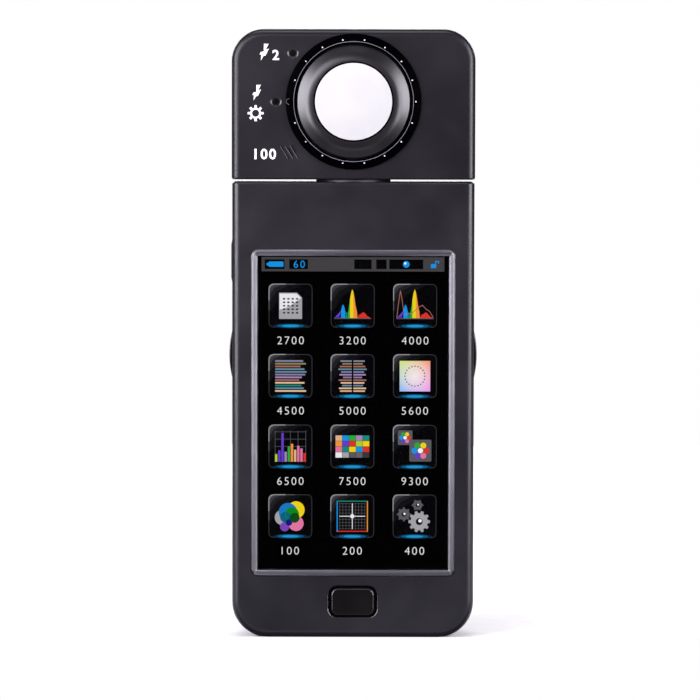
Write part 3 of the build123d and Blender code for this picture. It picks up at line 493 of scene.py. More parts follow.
class Finish(Enum):
    """The finishes of the instrument."""

    # Shells: spark-eroded, so the soft boxes melt into a low, even sheen
    CASE = MouldedPlastic("case_abs_sparked", "151319", "18161c", roughness=0.34)
    HEAD = MouldedPlastic("head_abs_sparked", "0e0c12", "110f15", roughness=0.38, grain=0.3, shine=0.4)
    # Keys and cup: polished and satin moulds, so that lights stay narrow on them
    KEY = MouldedPlastic("key_polycarbonate_gloss", "070607", "0b0a0b", roughness=0.16, depth=0.002)
    MENU_KEY = MouldedPlastic("menu_key_polycarbonate_satin", "0c0a0c", "100e10", roughness=0.3, depth=0.004,
                              shine=0.15)
    CONE = MouldedPlastic("cone_polycarbonate_satin", "0d0b10", "131116", roughness=0.3, depth=0.003, shine=0.75,
                          vary=0.01)
    # Ring: black satin that gives back next to no light; its edge line and rib tips are lighter colours, painted
    # highlights and glints
    RING = MouldedPlastic("ring_acetal_satin", "010102", "020203", depth=0.004, shine=0.004, vary=0.01)
    RIM = MouldedPlastic("ring_edge_painted_highlight", "77777d", "606066", roughness=0.3, grain=0.5, cloud=6.0)
    GLINT = MouldedPlastic("rib_tip_painted_glint", "d8d8de", "b8b8be", roughness=0.3, grain=0.5)
    # Edges and floors of wells, dimples, slanted lines and pip: the lighter lines are painted highlights, the
    # near-black floors painted shade
    KEY_EDGE_HIGHLIGHT = MouldedPlastic("menu_key_edge_painted_highlight", "1e1d20", "28262a", roughness=0.3, grain=0.5)
    WELL_SHADE = MouldedPlastic("key_well_painted_shade", "020202", "050506", roughness=0.3, shine=0.1)
    PIP_HIGHLIGHT = MouldedPlastic("pip_edge_painted_highlight", "5a5a60", "6c6c72", roughness=0.3, grain=0.5)
    DIMPLE = MouldedPlastic("dimple_painted_shade", "030303", "08080a", roughness=0.2, depth=0.002, shine=0.3)
    HATCH_HIGHLIGHT = MouldedPlastic("hatch_edge_painted_highlight", "4c4b52", "57565e")
    DIMPLE_EDGE_HIGHLIGHT = MouldedPlastic("dimple_edge_painted_highlight", "1e1d20", "28262a", roughness=0.3, grain=0.5)
    # Inside: plain moulded and wrapped parts, dull and dark
    INNER = MouldedPlastic("inner_polycarbonate_black", "121214", "17171a", roughness=0.55)
    CHIP = MouldedPlastic("chip_epoxy_black", "141416", "1b1b1e", roughness=0.4, grain=0.2)
    CELL = MouldedPlastic("cell_sleeve_film", "30343c", "353a42", roughness=0.3, depth=0.003)
    # Metals: brushed bars with a long soft streak, stamped, turned and blacked parts
    BEZEL = WorkedMetal("bezel_aluminium_brushed_upright", "76767a", "6f6f73", roughness=0.45,
                        stretch=(1, 1, 0.1), brushed=0.8)
    BEZEL_CROSS = WorkedMetal("bezel_aluminium_brushed_across", "7f7e85", "77767d", roughness=0.58,
                              stretch=(0.1, 1, 1), brushed=0.8, brush_turn=0.25)
    SHEET = WorkedMetal("sheet_steel_stamped", "b4b4b6", "a2a2a6", roughness=0.36)
    SCREW = WorkedMetal("screw_steel_blacked", "55555a", "46464b", roughness=0.34, stretch=(1, 0.2, 1))
    BRASS = WorkedMetal("insert_brass_turned", "c9a25a", "a98545", stretch=(1, 0.1, 1))
    SWIVEL = WorkedMetal("swivel_aluminium_anodised", "4c4c50", "434347", roughness=0.35, stretch=(1, 1, 0.1))
    MIRROR = WorkedMetal("mirror_aluminium_evaporated", "f2f2f4", "e6e6ea", roughness=0.08, depth=0.001)
    # Glass, light and acrylic: clear over the display, milky over the receptor
    COVER_GLASS = PolishedGlass("screen_glass_coated", "f4f4f8", 1.22)
    FILTER_GLASS = PolishedGlass("filter_glass_grey", "6c6c70", 1.5)
    DISPLAY = DisplayLight("display_cells_dark", "020203", 0.05)
    DOME = OpalAcrylic("diffuser_acrylic_opal", "c0c0bb", "bababa")
    # Boards, rubber, ink and paper: lacquer that shines, the rest matt
    BOARD = SolderMask("board_fibreglass_green", "0d3d26", "155236")
    RUBBER = SoftRubber("cover_rubber_silicone", "1b1b1d", "262629")
    INK_WHITE = PrintedInk("ink_white_pad_printed", "e8e8ea", "b9b9bd")
    PAPER = PaperSheet("floor_paper_white", "f8f8f8", "f4f4f4")


SLOT_FINISHES = {
    "case_plastic": Finish.CASE, "head_plastic": Finish.HEAD, "key_plastic": Finish.KEY,
    "bezel_metal": Finish.BEZEL, "cover_glass": Finish.COVER_GLASS, "display": Finish.DISPLAY,
    "sheet_metal": Finish.SHEET, "screw_steel": Finish.SCREW, "circuit_board": Finish.BOARD,
    "chip_black": Finish.CHIP, "inner_plastic": Finish.INNER, "rubber": Finish.RUBBER,
    "cell_wrap": Finish.CELL, "insert_brass": Finish.BRASS, "swivel_alloy": Finish.SWIVEL,
    "cone_plastic": Finish.CONE, "ring_plastic": Finish.RING, "diffuser_white": Finish.DOME,
    "filter_glass": Finish.FILTER_GLASS, "mirror": Finish.MIRROR,
}


NODE_FINISHES = {"menu_button": Finish.MENU_KEY, "diffuser_seal": Finish.RING}


class Paints:
    """Makes each finish once and hands it out."""

    def __init__(self) -> None:
        """Starts with nothing mixed."""
        self.made: dict[str, bpy.types.Material] = {}

    def get(self, finish: Finish) -> bpy.types.Material:
        """Gives a finish of the list, made at its first use."""
        return self.mix(finish.value)

    def mix(self, recipe: Recipe) -> bpy.types.Material:
        """Gives the material of a recipe, made at its first use.

        Args:
            recipe: the named finish.

        Returns:
            Its material.
        """
        if recipe.name not in self.made:
            self.made[recipe.name] = recipe.material()
        return self.made[recipe.name]


@dataclass
class CarriedPieces:
    """The CAD nodes whose own shape shows: case, keys, bezel, glass, receptor and all that is inside."""

    paints: Paints

    def dress(self) -> None:
        """Gives every node its own finish, or that of its material slot."""
        for row in frame["record"]["subparts"]:
            finish = NODE_FINISHES.get(row["node"], SLOT_FINISHES[row["material_slot"]])
            material = self.paints.get(finish)
            piece = frame["nodes"][row["node"]]
            if not piece.material_slots:
                piece.data.materials.append(material)
            for slot in piece.material_slots:
                slot.material = material
            log.info("%s: %s", row["node"], finish.value.name)


# Building pieces

def add_piece(name: str, mesh: bmesh.types.BMesh, material: bpy.types.Material, body: str,
              place: Place = (0.0, 0.0, 0.0), crease: float | None = None) -> bpy.types.Object:
    """Turns a finished mesh into a piece that rides on a body.

    Args:
        name: the piece's name.
        mesh: the mesh in mm; it is freed.
        material: its finish.
        body: the CAD body that it rides on.
        place: what the mesh is moved by, in mm.
        crease: angle in degrees past which an edge stays sharp; without it the piece is shaded flat.

    Returns:
        The piece.
    """
    bmesh.ops.translate(mesh, vec=place, verts=mesh.verts[:])
    bmesh.ops.scale(mesh, vec=(MM, MM, MM), verts=mesh.verts[:])
    piece = bpy.data.objects.new(name, bpy.data.meshes.new(name))
    mesh.to_mesh(piece.data)
    mesh.free()
    piece.data.polygons.foreach_set("use_smooth", [crease is not None] * len(piece.data.polygons))
    if crease is not None:
        piece.data.set_sharp_from_angle(angle=math.radians(crease))
    piece.data.materials.append(material)
    bpy.context.scene.collection.objects.link(piece)
    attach(piece, body)
    log.info("%s: %s on %s", name, material.name, body)
    return piece


def spin_section(section: list[Point], steps: int) -> bmesh.types.BMesh:
    """Turns a closed section round the Y axis.

    Args:
        section: radius and depth of its corners.
        steps: how many facets go round.

    Returns:
        The turned mesh, its faces outward.
    """
    mesh = bmesh.new()
    verts = [mesh.verts.new((radius, depth, 0)) for radius, depth in section]
    edges = [mesh.edges.new((verts[at - 1], verts[at])) for at in range(len(verts))]
    bmesh.ops.spin(mesh, geom=verts + edges, cent=(0, 0, 0), axis=(0, 1, 0), angle=2 * math.pi, steps=steps,
                   use_merge=True)
    bmesh.ops.recalc_face_normals(mesh, faces=mesh.faces[:])
    return mesh


def on_circle(count: int, radius: float) -> list[tuple[float, float, float]]:
    """Spreads places round a circle.

    Args:
        count: how many there are.
        radius: the circle's radius.

    Returns:
        Across, up and turn in degrees of each, anticlockwise from the right.
    """
    turns = [2 * math.pi * step / count for step in range(count)]
    return [(radius * math.cos(turn), radius * math.sin(turn), math.degrees(turn)) for turn in turns]


@dataclass
class FlatWork:
    """Thin plates of one finish that lie on a face turned to the front, drawn in mm: x across, z up."""

    name: str
    face: float
    thickness: float = FILM
    origin: Point = (0.0, 0.0)
    corner_steps: int = 4
    mesh: bmesh.types.BMesh = field(default_factory=bmesh.new)

    def settle(self, verts: list[bmesh.types.BMVert], middle: Point, size: Point, turn: float = 0.0) -> None:
        """Sizes, turns and places new vertices.

        Args:
            verts: vertices round the origin.
            middle: where their middle goes.
            size: what their unit width and height become.
            turn: degrees anticlockwise.
        """
        x, z = (start + offset for start, offset in zip(self.origin, middle))
        bmesh.ops.scale(self.mesh, vec=(*size, 1), verts=verts)
        bmesh.ops.rotate(self.mesh, cent=(0, 0, 0), matrix=Matrix.Rotation(math.radians(turn), 3, "Z"), verts=verts)
        bmesh.ops.translate(self.mesh, vec=(x, z, 0), verts=verts)

    def plate(self, x: float, z: float, width: float, height: float, corner: float = 0.0, turn: float = 0.0) -> None:
        """Draws a rectangle.

        Args:
            x: middle across.
            z: middle up.
            width: its width.
            height: its height.
            corner: radius of its corners.
            turn: degrees anticlockwise.
        """
        verts = bmesh.ops.create_grid(self.mesh, x_segments=1, y_segments=1, size=0.5)["verts"]
        self.settle(verts, (x, z), (width, height), turn)
        if corner:
            bmesh.ops.bevel(self.mesh, geom=verts, offset=corner, offset_type="OFFSET", segments=self.corner_steps,
                            profile=0.5, affect="VERTICES", material=-1)

    def disc(self, x: float, z: float, width: float, height: float | None = None, sides: int = 32) -> None:
        """Draws a disc or an ellipse.

        Args:
            x: middle across.
            z: middle up.
            width: its width.
            height: its height, where it isn't round.
            sides: how many edges it has.
        """
        verts = bmesh.ops.create_circle(self.mesh, cap_ends=True, radius=0.5, segments=sides)["verts"]
        self.settle(verts, (x, z), (width, height or width))

    def band(self, x: float, z: float, outer: float, inner: float, sides: int = 40, lift: float = 0.0) -> None:
        """Draws a ring.

        Args:
            x: middle across.
            z: middle up.
            outer: its outer diameter.
            inner: its inner diameter.
            sides: how many edges each rim has.
            lift: how far its inner rim stands in front of its outer one.
        """
        rims = [bmesh.ops.create_circle(self.mesh, radius=size / 2, segments=sides)["verts"] for size in (outer, inner)]
        edges = {edge for rim in rims for vert in rim for edge in vert.link_edges}
        bmesh.ops.bridge_loops(self.mesh, edges=list(edges))
        bmesh.ops.translate(self.mesh, vec=(0, 0, lift), verts=rims[1])
        self.settle(rims[0] + rims[1], (x, z), (1, 1))

    def outline(self, x: float, z: float, width: float, height: float, corner: float, line: float,
                lift: float = 0.0) -> None:
        """Draws the outline of a rounded rectangle.

        Args:
            x: middle across.
            z: middle up.
            width: its width over all.
            height: its height over all.
            corner: radius of its corners.
            line: width of the line.
            lift: how far its inner rim stands in front of its outer one.
        """
        before = set(self.mesh.faces)
        self.plate(x, z, width, height, corner)
        inside = [face for face in self.mesh.faces if face not in before]
        bmesh.ops.inset_region(self.mesh, faces=inside, thickness=line, depth=lift, use_even_offset=True,
                               use_boundary=True)
        bmesh.ops.delete(self.mesh, geom=inside, context="FACES_ONLY")

    def shape(self, points: tuple[Point, ...] | list[Point], x: float = 0.0, z: float = 0.0, size: float = 1.0) -> None:
        """Draws a closed outline.

        Args:
            points: its corners.
            x: added across.
            z: added up.
            size: what the points are multiplied by.
        """
        left, low = self.origin
        verts = [self.mesh.verts.new((left + x + size * across, low + z + size * up, 0)) for across, up in points]
        bmesh.ops.contextual_create(self.mesh, geom=verts)

    def stroke(self, points: tuple[Point, ...] | list[Point], width: float) -> None:
        """Draws a line of straight runs, each a thin plate.

        Args:
            points: its ends and bends.
            width: width of the line.
        """
        for (x0, z0), (x1, z1) in zip(points, points[1:]):
            run = math.hypot(x1 - x0, z1 - z0)
            self.plate((x0 + x1) / 2, (z0 + z1) / 2, run + width / 2, width,
                       turn=math.degrees(math.atan2(z1 - z0, x1 - x0)))

    def figures(self, digits: str, x: float, z: float, height: float, spacing: float = 1.0,
                weight: float = 0.0) -> None:
        """Sets plain figures.

        Args:
            digits: the figures.
            x: their middle across.
            z: their middle up.
            height: height of a figure.
            spacing: room for each figure, as a share of the usual.
            weight: how far the outline is thickened, as a share of the figure's size.
        """
        text = bpy.data.curves.new("figures", "FONT")
        text.body = digits
        text.space_character = spacing
        text.resolution_u = self.corner_steps
        text.offset = weight
        holder = bpy.data.objects.new("figures", text)
        bpy.context.scene.collection.objects.link(holder)
        bpy.context.view_layer.update()
        drawn = bpy.data.meshes.new_from_object(holder)
        bpy.data.objects.remove(holder)
        before = set(self.mesh.verts)
        self.mesh.from_mesh(drawn)
        bpy.data.meshes.remove(drawn)
        verts = [vert for vert in self.mesh.verts if vert not in before]
        (left, low), (right, top) = ([pick(vert.co[axis] for vert in verts) for axis in (0, 1)] for pick in (min, max))
        bmesh.ops.translate(self.mesh, vec=(-(left + right) / 2, -(low + top) / 2, 0), verts=verts)
        grow = height / (top - low)
        self.settle(verts, (x, z), (grow, grow))

    def finish(self, material: bpy.types.Material, body: str, slot: str) -> bpy.types.Object:
        """Gives the shapes their thickness and turns them into a piece.

        Args:
            material: its finish.
            body: the CAD body that it rides on.
            slot: the record's material slot; not used.

        Returns:
            The piece.
        """
        mesh = self.mesh
        out = bmesh.ops.extrude_face_region(mesh, geom=mesh.faces[:])
        raised = [part for part in out["geom"] if isinstance(part, bmesh.types.BMVert)]
        bmesh.ops.translate(mesh, vec=(0, 0, self.thickness), verts=raised)
        bmesh.ops.rotate(mesh, cent=(0, 0, 0), matrix=UPRIGHT, verts=mesh.verts[:])
        bmesh.ops.recalc_face_normals(mesh, faces=mesh.faces[:])
        return add_piece(self.name, mesh, material, body, (0, self.face, 0))


class Light(Enum):
    """The display's colours, each a hex value and the layer it lies in."""

    EDGE = ("3c3c42", 1)
    BAR = ("454345", 1)
    FIELD = ("030304", 2)
    GLOSS_1 = ("101012", 3)
    GLOSS_2 = ("202023", 4)
    GLOSS_3 = ("3a3a3e", 5)
    GLOSS_4 = ("66666c", 6)
    GLOW_1 = ("06283c", 3)
    GLOW_2 = ("0c5c88", 4)
    GLOW_3 = ("1e9ad6", 5)
    WHITE = ("f2f2f2", 7)
    SILVER = ("a8a8ac", 6)
    GREY = ("5c5c60", 5)
    VIOLET = ("6a3fd0", 6)
    BLUE = ("1598e8", 6)
    TEAL = ("1c8c7c", 6)
    GREEN = ("2fae3c", 6)
    LIME = ("b4d430", 6)
    YELLOW = ("f6d818", 6)
    ORANGE = ("f59a3a", 6)
    SAND = ("e8b88a", 6)
    RED = ("e0352c", 6)
    PINK = ("e87aa6", 6)
    MAUVE = ("a88cc0", 6)
    DUSK = ("8a86a8", 6)
    SLATE = ("6c8ca0", 6)
    MOSS = ("8c8a5c", 6)
    CLAY = ("a86a62", 6)
    PALE_SAND = ("e8c4a0", 6)
    DEEP_GREEN = ("0c4c10", 9)
    DEEP_TEAL = ("0c6484", 8)
    NAVY = ("101c80", 9)
    BLUE_OVER = ("1c7cc8", 7)
    GREEN_OVER = ("0a8c1e", 8)
    VIOLET_OVER = ("7a48b8", 7)
    INK = ("020203", 8)
    SPARK = ("ffffff", 9)


@dataclass
class LitLayers:
    """The sheets of light behind the glass, one for each colour, each in its layer."""

    paints: Paints
    glass_back: float = -10.2
    step: float = 0.012
    origin: Point = (0.0, 0.0)
    sheets: dict[Light, FlatWork] = field(default_factory=dict)

    def sheet(self, light: Light) -> FlatWork:
        """Gives the sheet of a colour, started at its first use and drawn on from the present origin.

        Args:
            light: the colour.

        Returns:
            Its sheet.
        """
        if light not in self.sheets:
            self.sheets[light] = self.start(f"screen_{light.name.lower()}", light)
        self.sheets[light].origin = self.origin
        return self.sheets[light]

    def start(self, name: str, light: Light) -> FlatWork:
        """Starts an empty sheet in the layer of a colour."""
        return FlatWork(name, self.glass_back - light.value[1] * self.step, self.step / 2, self.origin)

    def finish(self) -> None:
        """Makes a glowing piece of each sheet."""
        for light, sheet in self.sheets.items():
            glow = DisplayLight(f"display_light_{light.name.lower()}", light.value[0])
            sheet.finish(self.paints.mix(glow), "body", "display")


@dataclass
class StatusBar:
    """The bar over the tiles: dark boxes with a cell, plain figures, a dot and a lock."""

    layers: LitLayers
    across: float = -0.08
    size: Point = (54.85, 4.3)
    boxes: tuple[Point, ...] = ((-23.6, 5.9), (-16.4, 5.6), (2.9, 5.2), (8.45, 3.1), (15.9, 10.2))
    box_height: float = 2.9
    blue_plates: tuple[tuple[float, ...], ...] = ((-23.2, 0, 4.5, 1.6, 0.3), (-25.6, 0, 0.8, 0.8, 0.1),
                                                  (24.1, -0.5, 1.6, 1.2, 0.15))
    lock_bow: tuple[Point, ...] = ((24.7, 0), (24.7, 0.9), (25.6, 0.9), (25.6, 0.3))
    lock_line: float = 0.28
    charge: str = "60"
    charge_place: float = -16.2
    charge_height: float = 2.2
    charge_spacing: float = 1.3
    dot: tuple[float, float, float] = (15.9, 0, 2.0)
    dot_spark: tuple[float, float, float] = (15.6, 0.3, 0.7)

    def draw(self) -> None:
        """Draws the bar, its boxes and its signs."""
        self.layers.sheet(Light.BAR).plate(self.across, 0, *self.size)
        for middle, width in self.boxes:
            self.layers.sheet(Light.FIELD).plate(middle, 0, width, self.box_height)
        blue = self.layers.sheet(Light.BLUE)
        for plate in self.blue_plates:
            blue.plate(*plate)
        blue.figures(self.charge, self.charge_place, 0, self.charge_height, self.charge_spacing)
        blue.disc(*self.dot)
        self.layers.sheet(Light.SPARK).disc(*self.dot_spark)
        blue.stroke(self.lock_bow, self.lock_line)


@dataclass
class Tile:
    """A glossy black tile: its pale edge, gloss in the upper left and the glow at its foot."""

    layers: LitLayers
    size: float = 13.1
    corner: float = 1.5
    edge: float = 0.17
    gloss: tuple[tuple[Light, float], ...] = (
        (Light.GLOSS_1, 0.8), (Light.GLOSS_2, 0.5), (Light.GLOSS_3, 0.3), (Light.GLOSS_4, 0.15))
    gloss_cut: Point = (0.36, 0.99)
    gloss_slant: float = 0.85
    gloss_bend: float = 0.36
    sheen: tuple[tuple[Light, float], ...] = ((Light.GREY, 0.6), (Light.SILVER, 0.38))
    sheen_line: float = 0.23
    sheen_steps: int = 6
    glow: tuple[tuple[Light, float], ...] = ((Light.GLOW_1, 1.0), (Light.GLOW_2, 0.78), (Light.GLOW_3, 0.5))
    glow_drop: float = 0.465
    glow_size: Point = (0.8, 0.11)

    def draw(self) -> None:
        """Draws the tile round the present origin."""
        self.layers.sheet(Light.EDGE).plate(0, 0, self.size, self.size, self.corner)
        inner = self.size - 2 * self.edge
        self.layers.sheet(Light.FIELD).plate(0, 0, inner, inner, self.corner - self.edge)
        left, top = -inner / 2, inner / 2
        near, far = self.gloss_cut
        for light, reach in self.gloss:
            across, down = reach * inner, reach * inner * self.gloss_slant
            self.layers.sheet(light).shape([
                (left, top - far), (left + near, top - near), (left + far, top), (left + across, top),
                (left + self.gloss_bend * across, top - self.gloss_bend * down), (left, top - down)])
        middle, radius = self.size / 2 - self.corner, self.corner - self.edge / 2
        turns = [math.pi / 2 * step / self.sheen_steps for step in range(self.sheen_steps + 1)]
        bend = [(-middle - radius * math.cos(turn), middle + radius * math.sin(turn)) for turn in turns]
        for light, reach in self.sheen:
            run = reach * self.size - self.corner
            path = [(bend[0][0], middle - run), *bend, (run - middle, bend[-1][1])]
            self.layers.sheet(light).stroke(path, self.sheen_line)
        width, height = (share * self.size for share in self.glow_size)
        for light, share in self.glow:
            self.layers.sheet(light).disc(0, -self.glow_drop * self.size, share * width, share * height)


@dataclass
class Pictures:
    """The plain pictures on the tiles, each drawn in mm round the present origin, its tile's middle."""

    layers: LitLayers
    card: tuple[Point, ...] = ((-3.45, -4), (3.45, -4), (3.45, 2.4), (1.9, 3.9), (-3.45, 3.9))
    card_sheen: tuple[Point, ...] = ((-3.3, -1.2), (-0.6, -0.4), (3.1, 2.3), (1.8, 3.6), (-3.3, 3.6))
    card_grid: tuple[int, int] = (4, 5)
    card_first: Point = (-1.95, 2.05)
    card_pitch: Point = (1.3, 1.05)
    card_mark: Point = (0.66, 0.46)
    base: float = -3.7
    base_line: tuple[float, float, float] = (-0.15, 11.2, 0.22)
    curve_low: float = 0.15
    curve_step: float = 0.3
    curve_least: int = 3
    hump_reach: float = 3.0
    hump_power: int = 4
    humps: tuple[tuple[float, float, float], ...] = ((-2.9, 0.75, 4.0), (-0.1, 1.05, 8.6), (3.2, 1.1, 1.6))
    bands: tuple[tuple[Light, float, float], ...] = (
        (Light.VIOLET, -5.4, -3.5), (Light.BLUE, -3.5, -2.2), (Light.TEAL, -2.2, -1.5), (Light.GREEN, -1.5, -0.8),
        (Light.YELLOW, -0.8, 0.2), (Light.ORANGE, 0.2, 1.5), (Light.RED, 1.5, 5.4))
    second_curve: tuple[Point, ...] = (
        (-5.5, 0.1), (-4.9, 5.2), (-4.4, 8.2), (-3.9, 5.4), (-3.3, 1.0), (-1.0, 1.4), (0.9, 3.2), (2.2, 3.9),
        (3.4, 2.6), (4.2, 2.2), (5.4, 0.3))
    second_line: float = 0.2
    bars_top: float = 4.5
    bars_pitch: float = 0.82
    bars_left: float = -4.6
    bar_height: float = 0.5
    bars: tuple[tuple[Light, float], ...] = (
        (Light.DUSK, 8.4), (Light.MOSS, 9.2), (Light.CLAY, 7.6), (Light.SLATE, 8.8), (Light.SLATE, 9.4),
        (Light.DUSK, 9.0), (Light.MAUVE, 8.0), (Light.CLAY, 7.2), (Light.PALE_SAND, 8.8), (Light.TEAL, 7.9),
        (Light.SLATE, 8.6), (Light.PALE_SAND, 9.3))
    pair_gap: float = 0.25
    pair_height: float = 0.46
    pairs: tuple[tuple[Light, float], ...] = (
        (Light.DUSK, 3.4), (Light.MOSS, 2.8), (Light.CLAY, 3.6), (Light.SLATE, 4.0), (Light.DUSK, 3.2),
        (Light.MAUVE, 3.7), (Light.DUSK, 2.6), (Light.CLAY, 3.9), (Light.PALE_SAND, 3.3), (Light.SLATE, 2.9),
        (Light.PALE_SAND, 3.8), (Light.SAND, 3.5))
    pastel_half: float = 4.6
    pastel_low: tuple[str, str] = ("8fc1fa", "f5a5f5")
    pastel_high: tuple[str, str] = ("d4f084", "fc9d75")
    dots: tuple[int, float, float] = (20, 3.0, 0.42)
    dot_sides: int = 8
    chart_lines: int = 5
    chart_pitch: Point = (2.3, 2.2)
    chart_line: Point = (9.6, 0.12)
    column_pitch: float = 0.95
    column_width: float = 0.7
    column_foot: float = -4.6
    columns: tuple[tuple[Light, float], ...] = (
        (Light.LIME, 2.2), (Light.VIOLET, 3.4), (Light.VIOLET, 8.6), (Light.MAUVE, 3.0), (Light.GREEN, 4.6),
        (Light.ORANGE, 5.4), (Light.SAND, 3.6), (Light.PINK, 4.8), (Light.PINK, 4.0), (Light.RED, 2.6))
    patch: Point = (1.95, 1.6)
    patch_pitch: Point = (2.05, 1.7)
    patches: tuple[tuple[Light, ...], ...] = (
        (Light.SAND, Light.BLUE, Light.GREEN, Light.MAUVE, Light.TEAL),
        (Light.ORANGE, Light.VIOLET, Light.RED, Light.LIME, Light.YELLOW),
        (Light.PINK, Light.TEAL, Light.YELLOW, Light.BLUE, Light.RED),
        (Light.WHITE, Light.SILVER, Light.GREY, Light.GLOSS_4, Light.GLOSS_3))
    frames: tuple[tuple[float, float, float], ...] = ((-2.9, 2.7, 4.4), (1.7, -1.2, 6.6))
    frame_corner: float = 0.4
    frame_inner_corner: float = 0.3
    frame_line: float = 0.25
    wheel: tuple[Light, ...] = (Light.RED, Light.YELLOW, Light.GREEN, Light.BLUE, Light.VIOLET, Light.PINK)
    wheel_share: float = 0.27
    hub_share: float = 0.24
    small_sides: int = 16
    petals: tuple[tuple[Light, float, float, float], ...] = (
        (Light.YELLOW, 1.7, 1.9, 5.2), (Light.SILVER, -2.4, -0.4, 4.6), (Light.PINK, 1.7, -2.2, 4.6),
        (Light.BLUE_OVER, -0.7, 1.2, 5.6), (Light.GREEN_OVER, 0.5, 0.6, 4.2), (Light.VIOLET_OVER, -1.7, -3.2, 2.8),
        (Light.DEEP_TEAL, -1.5, -0.3, 3.2), (Light.DEEP_GREEN, 1.3, -0.5, 3.0), (Light.NAVY, -0.4, -1.9, 2.0))
    sight_lines: int = 9
    sight_pitch: float = 0.95
    sight_line: Point = (8.0, 0.1)
    sight_frame: tuple[tuple[Light, int, int], ...] = (
        (Light.TEAL, 0, 1), (Light.RED, 0, -1), (Light.BLUE, -1, 0), (Light.ORANGE, 1, 0))
    sight_half: float = 4.55
    sight_edge: Point = (9.4, 0.3)
    cross: Point = (7.8, 0.22)
    cross_dot: float = 1.3
    cogs: tuple[tuple[Light, float, float, float, int], ...] = (
        (Light.SILVER, 1.4, -1.6, 5.2, 10), (Light.GREY, -3.2, 0.6, 3.4, 8), (Light.GREY, 0.9, 3.4, 2.8, 6))
    tooth_place: float = 0.52
    tooth: Point = (0.2, 0.17)
    cog_hole: float = 0.4
    cog_hole_sides: int = 20
    cog_spark: float = 0.2
    cog_spark_place: float = 0.05

    def draw_list(self) -> None:
        """Draws a pale card with a cut corner and rows of small marks."""
        self.layers.sheet(Light.SILVER).shape(self.card)
        self.layers.sheet(Light.WHITE).shape(self.card_sheen)
        marks, rows = self.card_grid
        ink = self.layers.sheet(Light.INK)
        for row in range(rows):
            for mark in range(marks):
                ink.plate(self.card_first[0] + mark * self.card_pitch[0], self.card_first[1] - row * self.card_pitch[1],
                          *self.card_mark)

    def curve(self, across: float) -> float:
        """Works out the height of the spectrum's curve.

        Args:
            across: the place across the tile.

        Returns:
            The height over the base line.
        """
        height = self.curve_low
        for middle, half, top in self.humps:
            away = abs(across - middle) / half
            height += top / (1 + away ** self.hump_power) * max(0.0, 1 - away / self.hump_reach)
        return height

    def draw_peaks(self) -> None:
        """Draws a spectrum: a low blue hump, a high yellow one, a small red one, and a base line."""
        drop, length, line = self.base_line
        self.layers.sheet(Light.GREY).plate(0, self.base + drop, length, line)
        for light, left, right in self.bands:
            steps = max(self.curve_least, round((right - left) / self.curve_step))
            top = [left + (right - left) * step / steps for step in range(steps + 1)]
            self.layers.sheet(light).shape([(left, 0), *[(at, self.curve(at)) for at in top], (right, 0)], z=self.base)

    def draw_two_peaks(self) -> None:
        """Draws the spectrum with a second one as a thin line."""
        self.draw_peaks()
        line = [(across, self.base + up) for across, up in self.second_curve]
        self.layers.sheet(Light.CLAY).stroke(line, self.second_line)

    def draw_bars(self) -> None:
        """Draws a stack of level bars of many colours."""
        for row, (light, length) in enumerate(self.bars):
            self.layers.sheet(light).plate(self.bars_left + length / 2, self.bars_top - self.bars_pitch * row, length,
                                           self.bar_height)

    def draw_paired_bars(self) -> None:
        """Draws short bars on both sides of an upright line."""
        for row, (light, length) in enumerate(self.pairs):
            for side in (-1, 1):
                self.layers.sheet(light).plate(side * (self.pair_gap + length / 2),
                                               self.bars_top - self.bars_pitch * row, length, self.pair_height)

    def draw_colour_field(self) -> None:
        """Draws a field of pastel light with a dotted circle."""
        field_sheet = self.layers.start("screen_colour_field", Light.GREY)
        field_sheet.plate(0, 0, 2 * self.pastel_half, 2 * self.pastel_half)
        glow = DisplayField("display_pastel_field", self.layers.origin, self.pastel_half, self.pastel_low,
                            self.pastel_high)
        field_sheet.finish(self.layers.paints.mix(glow), "body", "display")
        count, radius, size = self.dots
        for x, z, _ in on_circle(count, radius):
            self.layers.sheet(Light.INK).disc(x, z, size, sides=self.dot_sides)

    def draw_columns(self) -> None:
        """Draws a grid with upright columns of many colours."""
        grid = self.layers.sheet(Light.GREY)
        length, line = self.chart_line
        for step in range(self.chart_lines):
            place = step - (self.chart_lines - 1) / 2
            grid.plate(0, place * self.chart_pitch[1], length, line)
            grid.plate(place * self.chart_pitch[0], 0, line, length)
        for column, (light, height) in enumerate(self.columns):
            place = self.column_pitch * (column - (len(self.columns) - 1) / 2)
            self.layers.sheet(light).plate(place, self.column_foot + height / 2, self.column_width, height)

    def draw_patches(self) -> None:
        """Draws a chart of colour patches over a row of greys."""
        for row, lights in enumerate(self.patches):
            for column, light in enumerate(lights):
                x = self.patch_pitch[0] * (column - (len(lights) - 1) / 2)
                z = self.patch_pitch[1] * ((len(self.patches) - 1) / 2 - row)
                self.layers.sheet(light).plate(x, z, *self.patch)

    def draw_swatches(self) -> None:
        """Draws two overlapping frames, each with a small colour wheel."""
        for across, up, size in self.frames:
            inner = size - 2 * self.frame_line
            self.layers.sheet(Light.GREY).plate(across, up, size, size, self.frame_corner)
            self.layers.sheet(Light.GLOSS_2).plate(across, up, inner, inner, self.frame_inner_corner)
            wheel = self.wheel_share * size
            for light, (x, z, _) in zip(self.wheel, on_circle(len(self.wheel), wheel)):
                self.layers.sheet(light).disc(across + x, up + z, wheel, sides=self.small_sides)
            self.layers.sheet(Light.SPARK).disc(across, up, self.hub_share * size, sides=self.small_sides)

    def draw_petals(self) -> None:
        """Draws overlapping discs of colour."""
        for light, across, up, size in self.petals:
            self.layers.sheet(light).disc(across, up, size)

